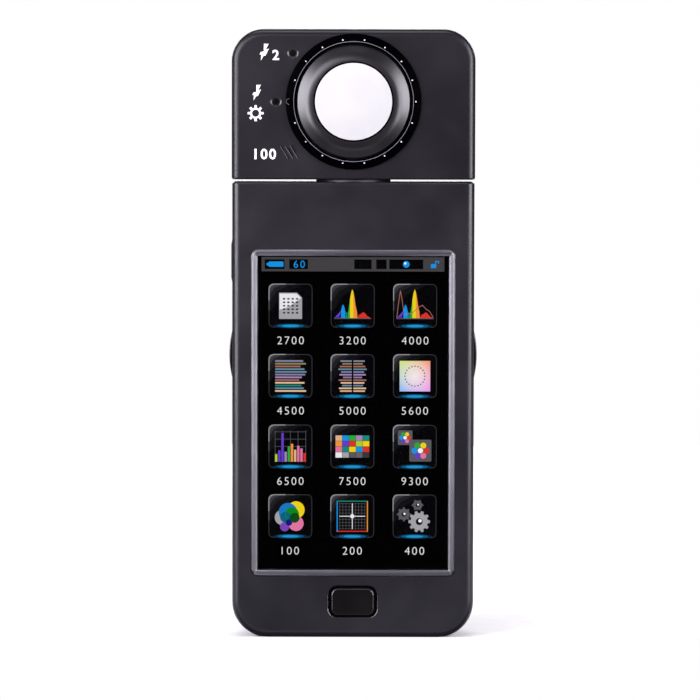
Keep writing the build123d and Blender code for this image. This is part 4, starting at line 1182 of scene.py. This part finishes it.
    def draw_crosshair(self) -> None:
        """Draws a fine grid in a coloured frame with a white cross and dot."""
        grid, white = self.layers.sheet(Light.GREY), self.layers.sheet(Light.WHITE)
        length, line = self.sight_line
        for step in range(self.sight_lines):
            place = self.sight_pitch * (step - (self.sight_lines - 1) / 2)
            grid.plate(0, place, length, line)
            grid.plate(place, 0, line, length)
        for light, across, up in self.sight_frame:
            size = self.sight_edge if up else self.sight_edge[::-1]
            self.layers.sheet(light).plate(across * self.sight_half, up * self.sight_half, *size)
        white.plate(0, 0, *self.cross)
        white.plate(0, 0, *self.cross[::-1])
        white.disc(0, 0, self.cross_dot, sides=self.small_sides)

    def draw_cogs(self) -> None:
        """Draws three cogs that mesh."""
        for light, across, up, size, teeth in self.cogs:
            cog = self.layers.sheet(light)
            cog.disc(across, up, size)
            for x, z, turn in on_circle(teeth, self.tooth_place * size):
                cog.plate(across + x, up + z, self.tooth[0] * size, self.tooth[1] * size, turn=turn)
            self.layers.sheet(Light.INK).disc(across, up, self.cog_hole * size, sides=self.cog_hole_sides)
            shift = self.cog_spark_place * size
            self.layers.sheet(Light.SPARK).disc(across + shift, up + shift, self.cog_spark * size,
                                                sides=self.small_sides)


@dataclass
class Screen:
    """The lit picture behind the cover glass: a status bar and twelve tiles with plain figures."""

    paints: Paints
    bar_place: float = 112.6
    columns: tuple[float, ...] = (-18.8, -0.15, 18.6)
    rows: tuple[float, ...] = (100.15, 79.0, 57.75, 36.7)
    figure_height: float = 2.35
    figure_weight: float = -0.012
    figure_spacing: float = 1.25
    figure_drop: float = 10.45
    readings: tuple[str, ...] = ("2700", "3200", "4000", "4500", "5000", "5600",
                                 "6500", "7500", "9300", "100", "200", "400")

    def build(self) -> None:
        """Draws the bar and the tiles, then makes a piece of each colour."""
        layers = LitLayers(self.paints, origin=(0.0, self.bar_place))
        StatusBar(layers).draw()
        tile, drawn = Tile(layers), Pictures(layers)
        pictures = (drawn.draw_list, drawn.draw_peaks, drawn.draw_two_peaks, drawn.draw_bars, drawn.draw_paired_bars,
                    drawn.draw_colour_field, drawn.draw_columns, drawn.draw_patches, drawn.draw_swatches,
                    drawn.draw_petals, drawn.draw_crosshair, drawn.draw_cogs)
        places = [(x, z) for z in self.rows for x in self.columns]
        for place, picture, reading in zip(places, pictures, self.readings):
            layers.origin = place
            tile.draw()
            picture()
            layers.sheet(Light.WHITE).figures(reading, 0, -self.figure_drop, self.figure_height, self.figure_spacing,
                                              self.figure_weight)
        layers.finish()


@dataclass
class ScreenBezel:
    """The raised frame round the glass: extruded aluminium with a rounded back, mitred and anodised."""

    paints: Paints
    width: float = 61.2
    height: float = 98.3
    middle: float = 67.85
    corner: float = 2.0
    corner_steps: int = 10
    rim: float = 1.8
    back: float = -10.1
    crown: float = -11.85
    slope_shares: tuple[float, ...] = (0.0, 0.1, 0.2, 0.35, 0.5, 0.65, 0.8, 0.9, 1.0)
    crease: float = 40.0

    def build(self) -> None:
        """Raises the frame's section by insets, closes its back and brushes its bars along their length."""
        mesh = bmesh.new()
        verts = bmesh.ops.create_grid(mesh, x_segments=1, y_segments=1, size=0.5)["verts"]
        bmesh.ops.scale(mesh, vec=(self.width, self.height, 1), verts=verts)
        bmesh.ops.bevel(mesh, geom=verts, offset=self.corner, offset_type="OFFSET", segments=self.corner_steps,
                        profile=0.5, affect="VERTICES", material=-1)
        rise = SHELL_FRONT - self.crown
        inside = mesh.faces[:]
        outer = mesh.edges[:]
        for near, far in zip(self.slope_shares, self.slope_shares[1:]):
            bmesh.ops.inset_region(mesh, faces=inside, thickness=(far - near) * self.rim, use_even_offset=True,
                                   use_boundary=True, depth=rise * (self.bulge(far) - self.bulge(near)))
        inner = list(inside[0].edges)
        bmesh.ops.delete(mesh, geom=inside, context="FACES_ONLY")
        rims = []
        for loop in (outer, inner):
            out = bmesh.ops.extrude_edge_only(mesh, edges=loop)["geom"]
            for vert in (part for part in out if isinstance(part, bmesh.types.BMVert)):
                vert.co.z = SHELL_FRONT - self.back
            rims += [part for part in out if isinstance(part, bmesh.types.BMEdge)]
        bmesh.ops.bridge_loops(mesh, edges=rims)
        bmesh.ops.recalc_face_normals(mesh, faces=mesh.faces[:])
        bmesh.ops.rotate(mesh, cent=(0, 0, 0), matrix=UPRIGHT, verts=mesh.verts[:])
        bezel = add_piece("rounded_bezel", mesh, self.paints.get(Finish.BEZEL), "body",
                          (0, SHELL_FRONT, self.middle), self.crease)
        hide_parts("screen_bezel")
        bezel.data.materials.append(self.paints.get(Finish.BEZEL_CROSS))
        half_height, half_width = self.height / 2 - self.rim, self.width / 2 - self.rim
        for face in bezel.data.polygons:
            across, up = abs(face.center.x) / MM, abs(face.center.z / MM - self.middle)
            face.material_index = int(up - half_height > across - half_width)

    @staticmethod
    def bulge(share: float) -> float:
        """Gives the height of the rounded section, 0 to 1, at a share of its width."""
        return 1 - (2 * share - 1) ** 2


@dataclass
class FrontTrim:
    """Small details of the front: the menu key's edge, its well, the dimples and the slanted lines, with painted
    highlights on their edges and painted shade in their hollows.
    """

    paints: Paints
    menu_middle: Point = (0.0, 10.95)
    key_size: Point = (13.0, 8.2)
    key_corner: float = 2.0
    key_front: float = -11.9
    key_edge_inset: float = 0.25
    edge_line: float = 0.22
    edge_lift: float = 0.13
    well_size: Point = (14.84, 9.74)
    well_corner: float = 2.77
    well_floor: float = -10.6
    well_play: float = 0.15
    dimple_floor: float = -11.15
    dimple_places: Point = (141.5, 180.0)
    dimple_reach: float = 23.2
    dimple_size: float = 3.4
    dimple_slope: Point = (0.45, 0.26)
    dimple_hole: float = 1.9
    hatch_middle: Point = (-19.1, 146.1)
    hatch_reach: Point = (1.15, 1.85)
    hatch_pitch: float = 1.5
    hatch_line: float = 0.4
    hatch_glint: float = 0.14

    def build(self) -> None:
        """Lays the trim of the body, then that of the head."""
        self.edge_key()
        self.line_well()
        self.sink_dimples()
        self.draw_hatch()

    def edge_key(self) -> None:
        """Lays the menu key's sloped edge in a lighter colour, a painted highlight of the strip lights on it."""
        edge = FlatWork("menu_key_edge", self.key_front)
        width, height = (size - 2 * self.key_edge_inset for size in self.key_size)
        edge.outline(*self.menu_middle, width, height, self.key_corner - self.key_edge_inset, self.edge_line,
                     self.edge_lift)
        edge.finish(self.paints.get(Finish.KEY_EDGE_HIGHLIGHT), "menu_button", "key_plastic")

    def line_well(self) -> None:
        """Lays the well's black floor, painted shade in the gap round the key, and its sloped rim, a painted highlight.
        """
        well = FlatWork("menu_key_well_shade", self.well_floor)
        gap = (self.well_size[0] - self.key_size[0]) / 2 - self.well_play
        well.outline(*self.menu_middle, *self.well_size, self.well_corner, gap)
        well.finish(self.paints.get(Finish.WELL_SHADE), "body", "case_plastic")
        # The well's sloped rim in the lighter edge colour: a painted highlight.
        rim = FlatWork("menu_well_rim_highlight", SHELL_FRONT - self.edge_lift)
        width, height = (size + 2 * self.edge_line for size in self.well_size)
        rim.outline(*self.menu_middle, width, height, self.well_corner + self.edge_line, self.edge_line,
                    -self.edge_lift)
        rim.finish(self.paints.get(Finish.KEY_EDGE_HIGHLIGHT), "body", "case_plastic")

    def sink_dimples(self) -> None:
        """Lays the sloped rims of the position dimples in a lighter colour, a painted highlight, and their black
        floors, painted shade.
        """
        rims = FlatWork("dimple_ring_highlights", SHELL_FRONT)
        # Near-black discs on the dimple floors: painted shade in the hollows.
        holes = FlatWork("dimple_hole_shade", self.dimple_floor)
        line, fall = self.dimple_slope
        for degrees in self.dimple_places:
            x = self.dimple_reach * math.cos(math.radians(degrees))
            z = RECEPTOR_AXIS + self.dimple_reach * math.sin(math.radians(degrees))
            rims.band(x, z, self.dimple_size, self.dimple_size - 2 * line, lift=-fall)
            holes.disc(x, z, self.dimple_hole)
        rims.finish(self.paints.get(Finish.DIMPLE_EDGE_HIGHLIGHT), "head", "head_plastic")
        holes.finish(self.paints.get(Finish.DIMPLE), "head", "head_plastic")

    def draw_hatch(self) -> None:
        """Draws the three slanted lines, each black as painted shade in its groove, with a lighter painted highlight on
        its left edge.
        """
        hatch = FlatWork("position_hatch", SHELL_FRONT)
        glints = FlatWork("position_hatch_highlights", SHELL_FRONT - FILM)
        x, z = self.hatch_middle
        across, up = self.hatch_reach
        for step in (-1, 0, 1):
            middle = x + step * self.hatch_pitch
            edge = middle - self.hatch_line / 2
            hatch.stroke([(middle - across, z + up), (middle + across, z - up)], self.hatch_line)
            glints.stroke([(edge - across, z + up), (edge + across, z - up)], self.hatch_glint)
        hatch.finish(self.paints.get(Finish.DIMPLE), "head", "head_plastic")
        glints.finish(self.paints.get(Finish.HATCH_HIGHLIGHT), "head", "head_plastic")


@dataclass
class ReceptorCone:
    """The cup round the diffuser, turned with a trumpet-shaped face: flat at the diffuser, a cone further out."""

    paints: Paints
    hub_bore: float = 1.05
    hub: float = 3.5
    hub_back: float = -6.6
    back: float = -8.2
    floor: float = -9.4
    chamber: float = 10.6
    seat: float = -13.9
    mouth: float = 12.0
    mouth_front: float = -14.7
    rim: float = 16.75
    rim_front: float = -13.0
    flare_share: float = 0.6
    steps: int = 16
    turns: int = 128
    crease: float = 30.0

    def face(self) -> list[Point]:
        """Works out the trumpet's face, from its rim to its mouth.

        Returns:
            The radius and depth of its points.
        """
        points = []
        for step in range(self.steps + 1):
            share = 1 - step / self.steps
            if share < self.flare_share:
                fall = share ** 2 / (2 * self.flare_share)
            else:
                fall = share - self.flare_share / 2
            fall /= 1 - self.flare_share / 2
            points.append((self.mouth + share * (self.rim - self.mouth),
                           self.mouth_front + fall * (self.rim_front - self.mouth_front)))
        return points

    def build(self) -> None:
        """Spins the cup's section and puts it in the CAD cup's place."""
        mesh = spin_section([
            (self.hub_bore, self.hub_back), (self.hub, self.hub_back), (self.hub, self.back), (self.rim, self.back),
            *self.face(), (self.mouth, self.seat), (self.chamber, self.seat), (self.chamber, self.floor),
            (self.hub_bore, self.floor)], self.turns)
        cup = add_piece("turned_receptor_cone", mesh, self.paints.get(Finish.CONE), "head",
                        (0, 0, RECEPTOR_AXIS), self.crease)
        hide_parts("receptor_cup")


@dataclass
class HeadMarks:
    """White marks printed beside the selector ring: what each of its three positions measures."""

    paints: Paints
    ink: float = 0.03
    weight: float = 0.025
    flash: tuple[Point, ...] = (
        (-0.02, 0.5), (0.27, 0.5), (0.1, 0.17), (0.28, 0.21), (-0.04, -0.22), (0.08, -0.2), (-0.2, -0.5),
        (-0.27, -0.12), (-0.17, -0.17), (-0.02, 0.05), (-0.2, 0.01))
    flashes: tuple[Place, ...] = ((-26.75, 176.0, 5.0), (-29.0, 163.9, 4.7))
    figures: tuple[tuple[str, float, float, float, float], ...] = (("2", -23.3, 175.2, 3.1, 1.0),
                                                                   ("100", -26.4, 145.6, 3.2, 1.2))
    sun: Place = (-29.3, 157.8, 4.7)
    sun_ring: Point = (0.7, 0.45)
    sun_rays: int = 8
    ray: Point = (0.19, 0.15)
    ray_place: float = 0.41

    def build(self) -> None:
        """Prints the flashes, the figures and the sun as one piece of ink."""
        sheet = FlatWork("head_marks", SHELL_FRONT, self.ink)
        for x, z, height in self.flashes:
            sheet.shape(self.flash, x, z, height)
        for digits, x, z, height, spacing in self.figures:
            sheet.figures(digits, x, z, height, spacing, self.weight)
        x, z, size = self.sun
        sheet.band(x, z, *(share * size for share in self.sun_ring))
        for across, up, turn in on_circle(self.sun_rays, self.ray_place * size):
            sheet.plate(x + across, z + up, *(share * size for share in self.ray), turn=turn)
        sheet.finish(self.paints.get(Finish.INK_WHITE), "head", "diffuser_white")


@dataclass
class SelectorRing:
    """The turned ring round the receptor: a sloping skirt with grip ribs, a pip as pointer, and lighter lines and dots
    on its front that are painted highlights of its edges.
    """

    paints: Paints
    bore: float = 17.4
    sleeve: float = 18.0
    back: float = -8.0
    skirt_back: float = -11.75
    skirt_front: float = -12.1
    front: float = -13.4
    front_radius: float = 18.1
    skirt_radius: float = 20.3
    edge_break: float = 0.12
    turns: int = 180
    crease: float = 25.0
    ribs: int = 18
    rib_width: float = 1.3
    rib_proud: float = 0.45
    rib_round: float = 0.12
    rib_round_steps: int = 2
    pip_place: float = 19.3
    pip_radius: float = 1.15
    pip_round: float = 0.2
    pip_round_steps: int = 4
    pip_sides: int = 32
    pip_highlight: float = 0.2
    pip_line_reach: float = 0.84
    pip_line_steps: int = 12
    rim_line: Point = (35.95, 35.65)
    glint_place: float = 18.62
    glint_size: float = 0.42
    glint_sides: int = 12

    def build(self) -> None:
        """Turns the ring, then lays the painted highlights of its edge and pip and the painted glints on its rib tips.
        """
        self.turn_ring()
        line, tips, arc = (self.highlight_sheet(name) for name in ("ring_rim_highlight", "ring_rib_tip_glints", "ring_pip_highlight"))
        # A light grey band at the inner front edge: a painted highlight, the edge's reflection of the lights.
        line.band(0, 0, *self.rim_line, sides=self.turns)
        line.finish(self.paints.get(Finish.RIM), "ring", "ring_plastic")
        # Near-white dots on the rib tips: painted glints of the lights.
        for rib in self.rib_angles():
            tips.disc(self.glint_place * math.cos(rib), self.glint_place * math.sin(rib), self.glint_size,
                      sides=self.glint_sides)
        tips.finish(self.paints.get(Finish.GLINT), "ring", "ring_plastic")
        # A grey half arc round the left of the pip: a painted highlight of its rim.
        turns = [math.pi * (0.5 + step / self.pip_line_steps) for step in range(self.pip_line_steps + 1)]
        arc.stroke([(-self.pip_place + self.pip_line_reach * math.cos(turn), self.pip_line_reach * math.sin(turn))
                    for turn in turns], self.pip_highlight)
        arc.finish(self.paints.get(Finish.PIP_HIGHLIGHT), "ring", "ring_plastic")

    def highlight_sheet(self, name: str) -> FlatWork:
        """Starts a sheet of painted highlight on the ring's front, drawn round the receptor's axis."""
        return FlatWork(name, self.front, origin=(0.0, RECEPTOR_AXIS))

    def rib_angles(self) -> list[float]:
        """Gives the angle of each rib, the pointer's place left free."""
        step = 2 * math.pi / self.ribs
        return [rib * step for rib in range(self.ribs) if abs(rib * step - math.pi) > step / 2]

    def turn_ring(self) -> None:
        """Spins the ring's section, adds the ribs and the pointer, and puts it in the CAD ring's place."""
        cut = self.edge_break
        mesh = spin_section([
            (self.bore, self.back), (self.sleeve, self.back), (self.sleeve, self.skirt_back),
            (self.skirt_radius - cut, self.skirt_back), (self.skirt_radius, self.skirt_back - cut),
            (self.skirt_radius, self.skirt_front), (self.front_radius, self.front + cut),
            (self.front_radius - cut, self.front), (self.bore + cut, self.front),
            (self.bore, self.front + cut)], self.turns)
        for rib in self.rib_angles():
            self.add_rib(mesh, rib)
        self.add_pip(mesh)
        ring = add_piece("turned_selector_ring", mesh, self.paints.get(Finish.RING), "ring",
                         (0, 0, RECEPTOR_AXIS), self.crease)
        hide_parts("selector_ring")

    def add_rib(self, mesh: bmesh.types.BMesh, angle: float) -> None:
        """Adds one grip rib with rounded edges.

        Args:
            mesh: the ring.
            angle: where it stands, in radians from the right.
        """
        foot, half = self.front_radius - self.rib_width / 2, self.rib_width / 2
        side = [(foot, self.skirt_back), (foot, self.front), (foot + self.rib_width, self.front),
                (self.skirt_radius, self.skirt_front - self.rib_proud), (self.skirt_radius, self.skirt_back)]
        verts = [mesh.verts.new((radius, depth, -half)) for radius, depth in side]
        face = bmesh.ops.contextual_create(mesh, geom=verts)["faces"]
        out = bmesh.ops.extrude_face_region(mesh, geom=face)["geom"]
        far = [part for part in out if isinstance(part, bmesh.types.BMVert)]
        bmesh.ops.translate(mesh, vec=(0, 0, self.rib_width), verts=far)
        rib = verts + far
        edges = list(dict.fromkeys(edge for vert in rib for edge in vert.link_edges))
        faces = list(dict.fromkeys(face for edge in edges for face in edge.link_faces))
        bmesh.ops.recalc_face_normals(mesh, faces=faces)
        bmesh.ops.rotate(mesh, cent=(0, 0, 0), matrix=Matrix.Rotation(-angle, 3, "Y"), verts=rib)
        bmesh.ops.bevel(mesh, geom=edges, offset=self.rib_round, offset_type="OFFSET",
                        segments=self.rib_round_steps, profile=0.5, affect="EDGES", material=-1)

    def add_pip(self, mesh: bmesh.types.BMesh) -> None:
        """Adds the round pointer at the left, its rim rounded.

        Args:
            mesh: the ring.
        """
        verts = bmesh.ops.create_cone(mesh, cap_ends=True, segments=self.pip_sides, radius1=self.pip_radius,
                                      radius2=self.pip_radius, depth=self.skirt_back - self.front)["verts"]
        bmesh.ops.rotate(mesh, cent=(0, 0, 0), matrix=UPRIGHT, verts=verts)
        bmesh.ops.translate(mesh, vec=(-self.pip_place, (self.skirt_back + self.front) / 2, 0), verts=verts)
        front = [face for face in {face for vert in verts for face in vert.link_faces}
                 if all(math.isclose(vert.co.y, self.front, abs_tol=MM) for vert in face.verts)]
        bmesh.ops.bevel(mesh, geom=front[0].edges[:], offset=self.pip_round, offset_type="OFFSET",
                        segments=self.pip_round_steps, profile=0.5, affect="EDGES", material=-1)


BODY_MIDDLE = (0.0, 0.0, 95.0)  # what most of the lights face, in mm


@dataclass(frozen=True)
class SoftBox:
    """An area light: its place, what it faces and its size in mm, its power in watts and its tint."""

    name: str
    place: Place
    target: Place
    size: Point
    power: float
    tint: Place = (0.945, 0.905, 1.0)

    def hang(self) -> None:
        """Puts the light in the scene."""
        light = bpy.data.lights.new(self.name, "AREA")
        light.shape = "RECTANGLE"
        light.size, light.size_y = (side * MM for side in self.size)
        light.energy = self.power
        light.color = self.tint
        lamp = bpy.data.objects.new(self.name, light)
        lamp.location = Vector(self.place) * MM
        lamp.rotation_euler = (Vector(self.target) - Vector(self.place)).to_track_quat("-Z", "Y").to_euler()
        bpy.context.scene.collection.objects.link(lamp)


@dataclass
class Studio:
    """Pale floor in a white room, soft boxes, and the camera at the photograph's place."""

    paints: Paints
    camera_place: Place = (-0.93, -1206.5, 155.9)
    aim: Place = (-0.93, -11.5, 86.9)
    roll: float = 0.11
    lens: float = 205.1
    sensor: float = 36.0
    near_clip: float = 50.0
    floor_half_width: float = 420.0
    floor_front: float = -9.0
    floor_back: float = 700.0
    room_glow: float = 0.08
    soft_boxes: tuple[SoftBox, ...] = (
        SoftBox("strip_left", (-565, -300, 260), BODY_MIDDLE, (160, 500), 4.2),
        SoftBox("strip_right", (565, -300, 260), BODY_MIDDLE, (160, 500), 4.2),
        SoftBox("soft_box_left", (-340, -385, 170), BODY_MIDDLE, (160, 360), 1.9),
        SoftBox("soft_box_right", (340, -385, 170), BODY_MIDDLE, (160, 360), 1.4),
        SoftBox("soft_box_key", (-210, -400, 340), (-20, 0, 120), (180, 180), 0.5),
        SoftBox("soft_box_front", (-150, -800, 420), BODY_MIDDLE, (260, 200), 0.5),
        SoftBox("bounce_card", (0, -260, -110), (0, 0, 30), (300, 80), 0.06),
        SoftBox("soft_box_top", (-60, -120, 900), BODY_MIDDLE, (500, 200), 2.2),
        SoftBox("soft_box_floor", (0, 800, 420), (0, 300, 0), (1200, 300), 7, (1, 1, 1)))

    def build(self) -> None:
        """Builds everything that is not the instrument."""
        self.build_floor()
        for soft_box in self.soft_boxes:
            soft_box.hang()
        self.build_world()
        self.build_camera()

    def build_floor(self) -> None:
        """Lays the floor, a sheet of white paper."""
        mesh = bmesh.new()
        bmesh.ops.create_grid(mesh, x_segments=1, y_segments=1, size=0.5)
        width, depth = 2 * self.floor_half_width, self.floor_back - self.floor_front
        bmesh.ops.scale(mesh, vec=(width, depth, 1), verts=mesh.verts[:])
        bmesh.ops.translate(mesh, vec=(0, self.floor_front + depth / 2, 0), verts=mesh.verts[:])
        bmesh.ops.scale(mesh, vec=(MM, MM, MM), verts=mesh.verts[:])
        floor = bpy.data.objects.new("paper_floor", bpy.data.meshes.new("paper_floor"))
        mesh.to_mesh(floor.data)
        mesh.free()
        floor.data.materials.append(self.paints.get(Finish.PAPER))
        bpy.context.scene.collection.objects.link(floor)
        log.info("%s: %s", floor.name, Finish.PAPER.value.name)

    def build_world(self) -> None:
        """Makes the room: white behind the instrument, and a dim even glow as light."""
        world = bpy.data.worlds.new("room")
        world.use_nodes = True
        tree = world.node_tree
        seen = add_node(tree, "ShaderNodeLightPath").outputs["Is Camera Ray"]
        glow = add_node(tree, "ShaderNodeMapRange", inputs={"Value": seen, "To Min": self.room_glow, "To Max": 1.0})
        ground = next(node for node in tree.nodes if node.type == "BACKGROUND")
        ground.inputs["Color"].default_value = (1, 1, 1, 1)
        tree.links.new(glow.outputs["Result"], ground.inputs["Strength"])
        bpy.context.scene.world = world

    def build_camera(self) -> None:
        """Sets the camera where the photograph was taken from."""
        camera = bpy.data.cameras.new("camera")
        camera.lens = self.lens
        camera.sensor_width = self.sensor
        camera.clip_start = self.near_clip * MM
        view = bpy.data.objects.new("camera", camera)
        view.location = Vector(self.camera_place) * MM
        turn = (Vector(self.aim) - Vector(self.camera_place)).to_track_quat("-Z", "Y").to_matrix()
        view.rotation_euler = (turn @ Matrix.Rotation(math.radians(self.roll), 3, "Z")).to_euler()
        bpy.context.scene.collection.objects.link(view)
        bpy.context.scene.camera = view


def main() -> None:
    """Builds and dresses the instrument, then the studio."""
    logging.basicConfig(level=logging.INFO, format="%(message)s")
    bpy.context.scene.view_settings.view_transform = "Standard"
    paints = Paints()
    CarriedPieces(paints).dress()
    for assembly in (Screen, ScreenBezel, FrontTrim, ReceptorCone, HeadMarks, SelectorRing, Studio):
        assembly(paints).build()


if __name__ == "__main__":
    main()
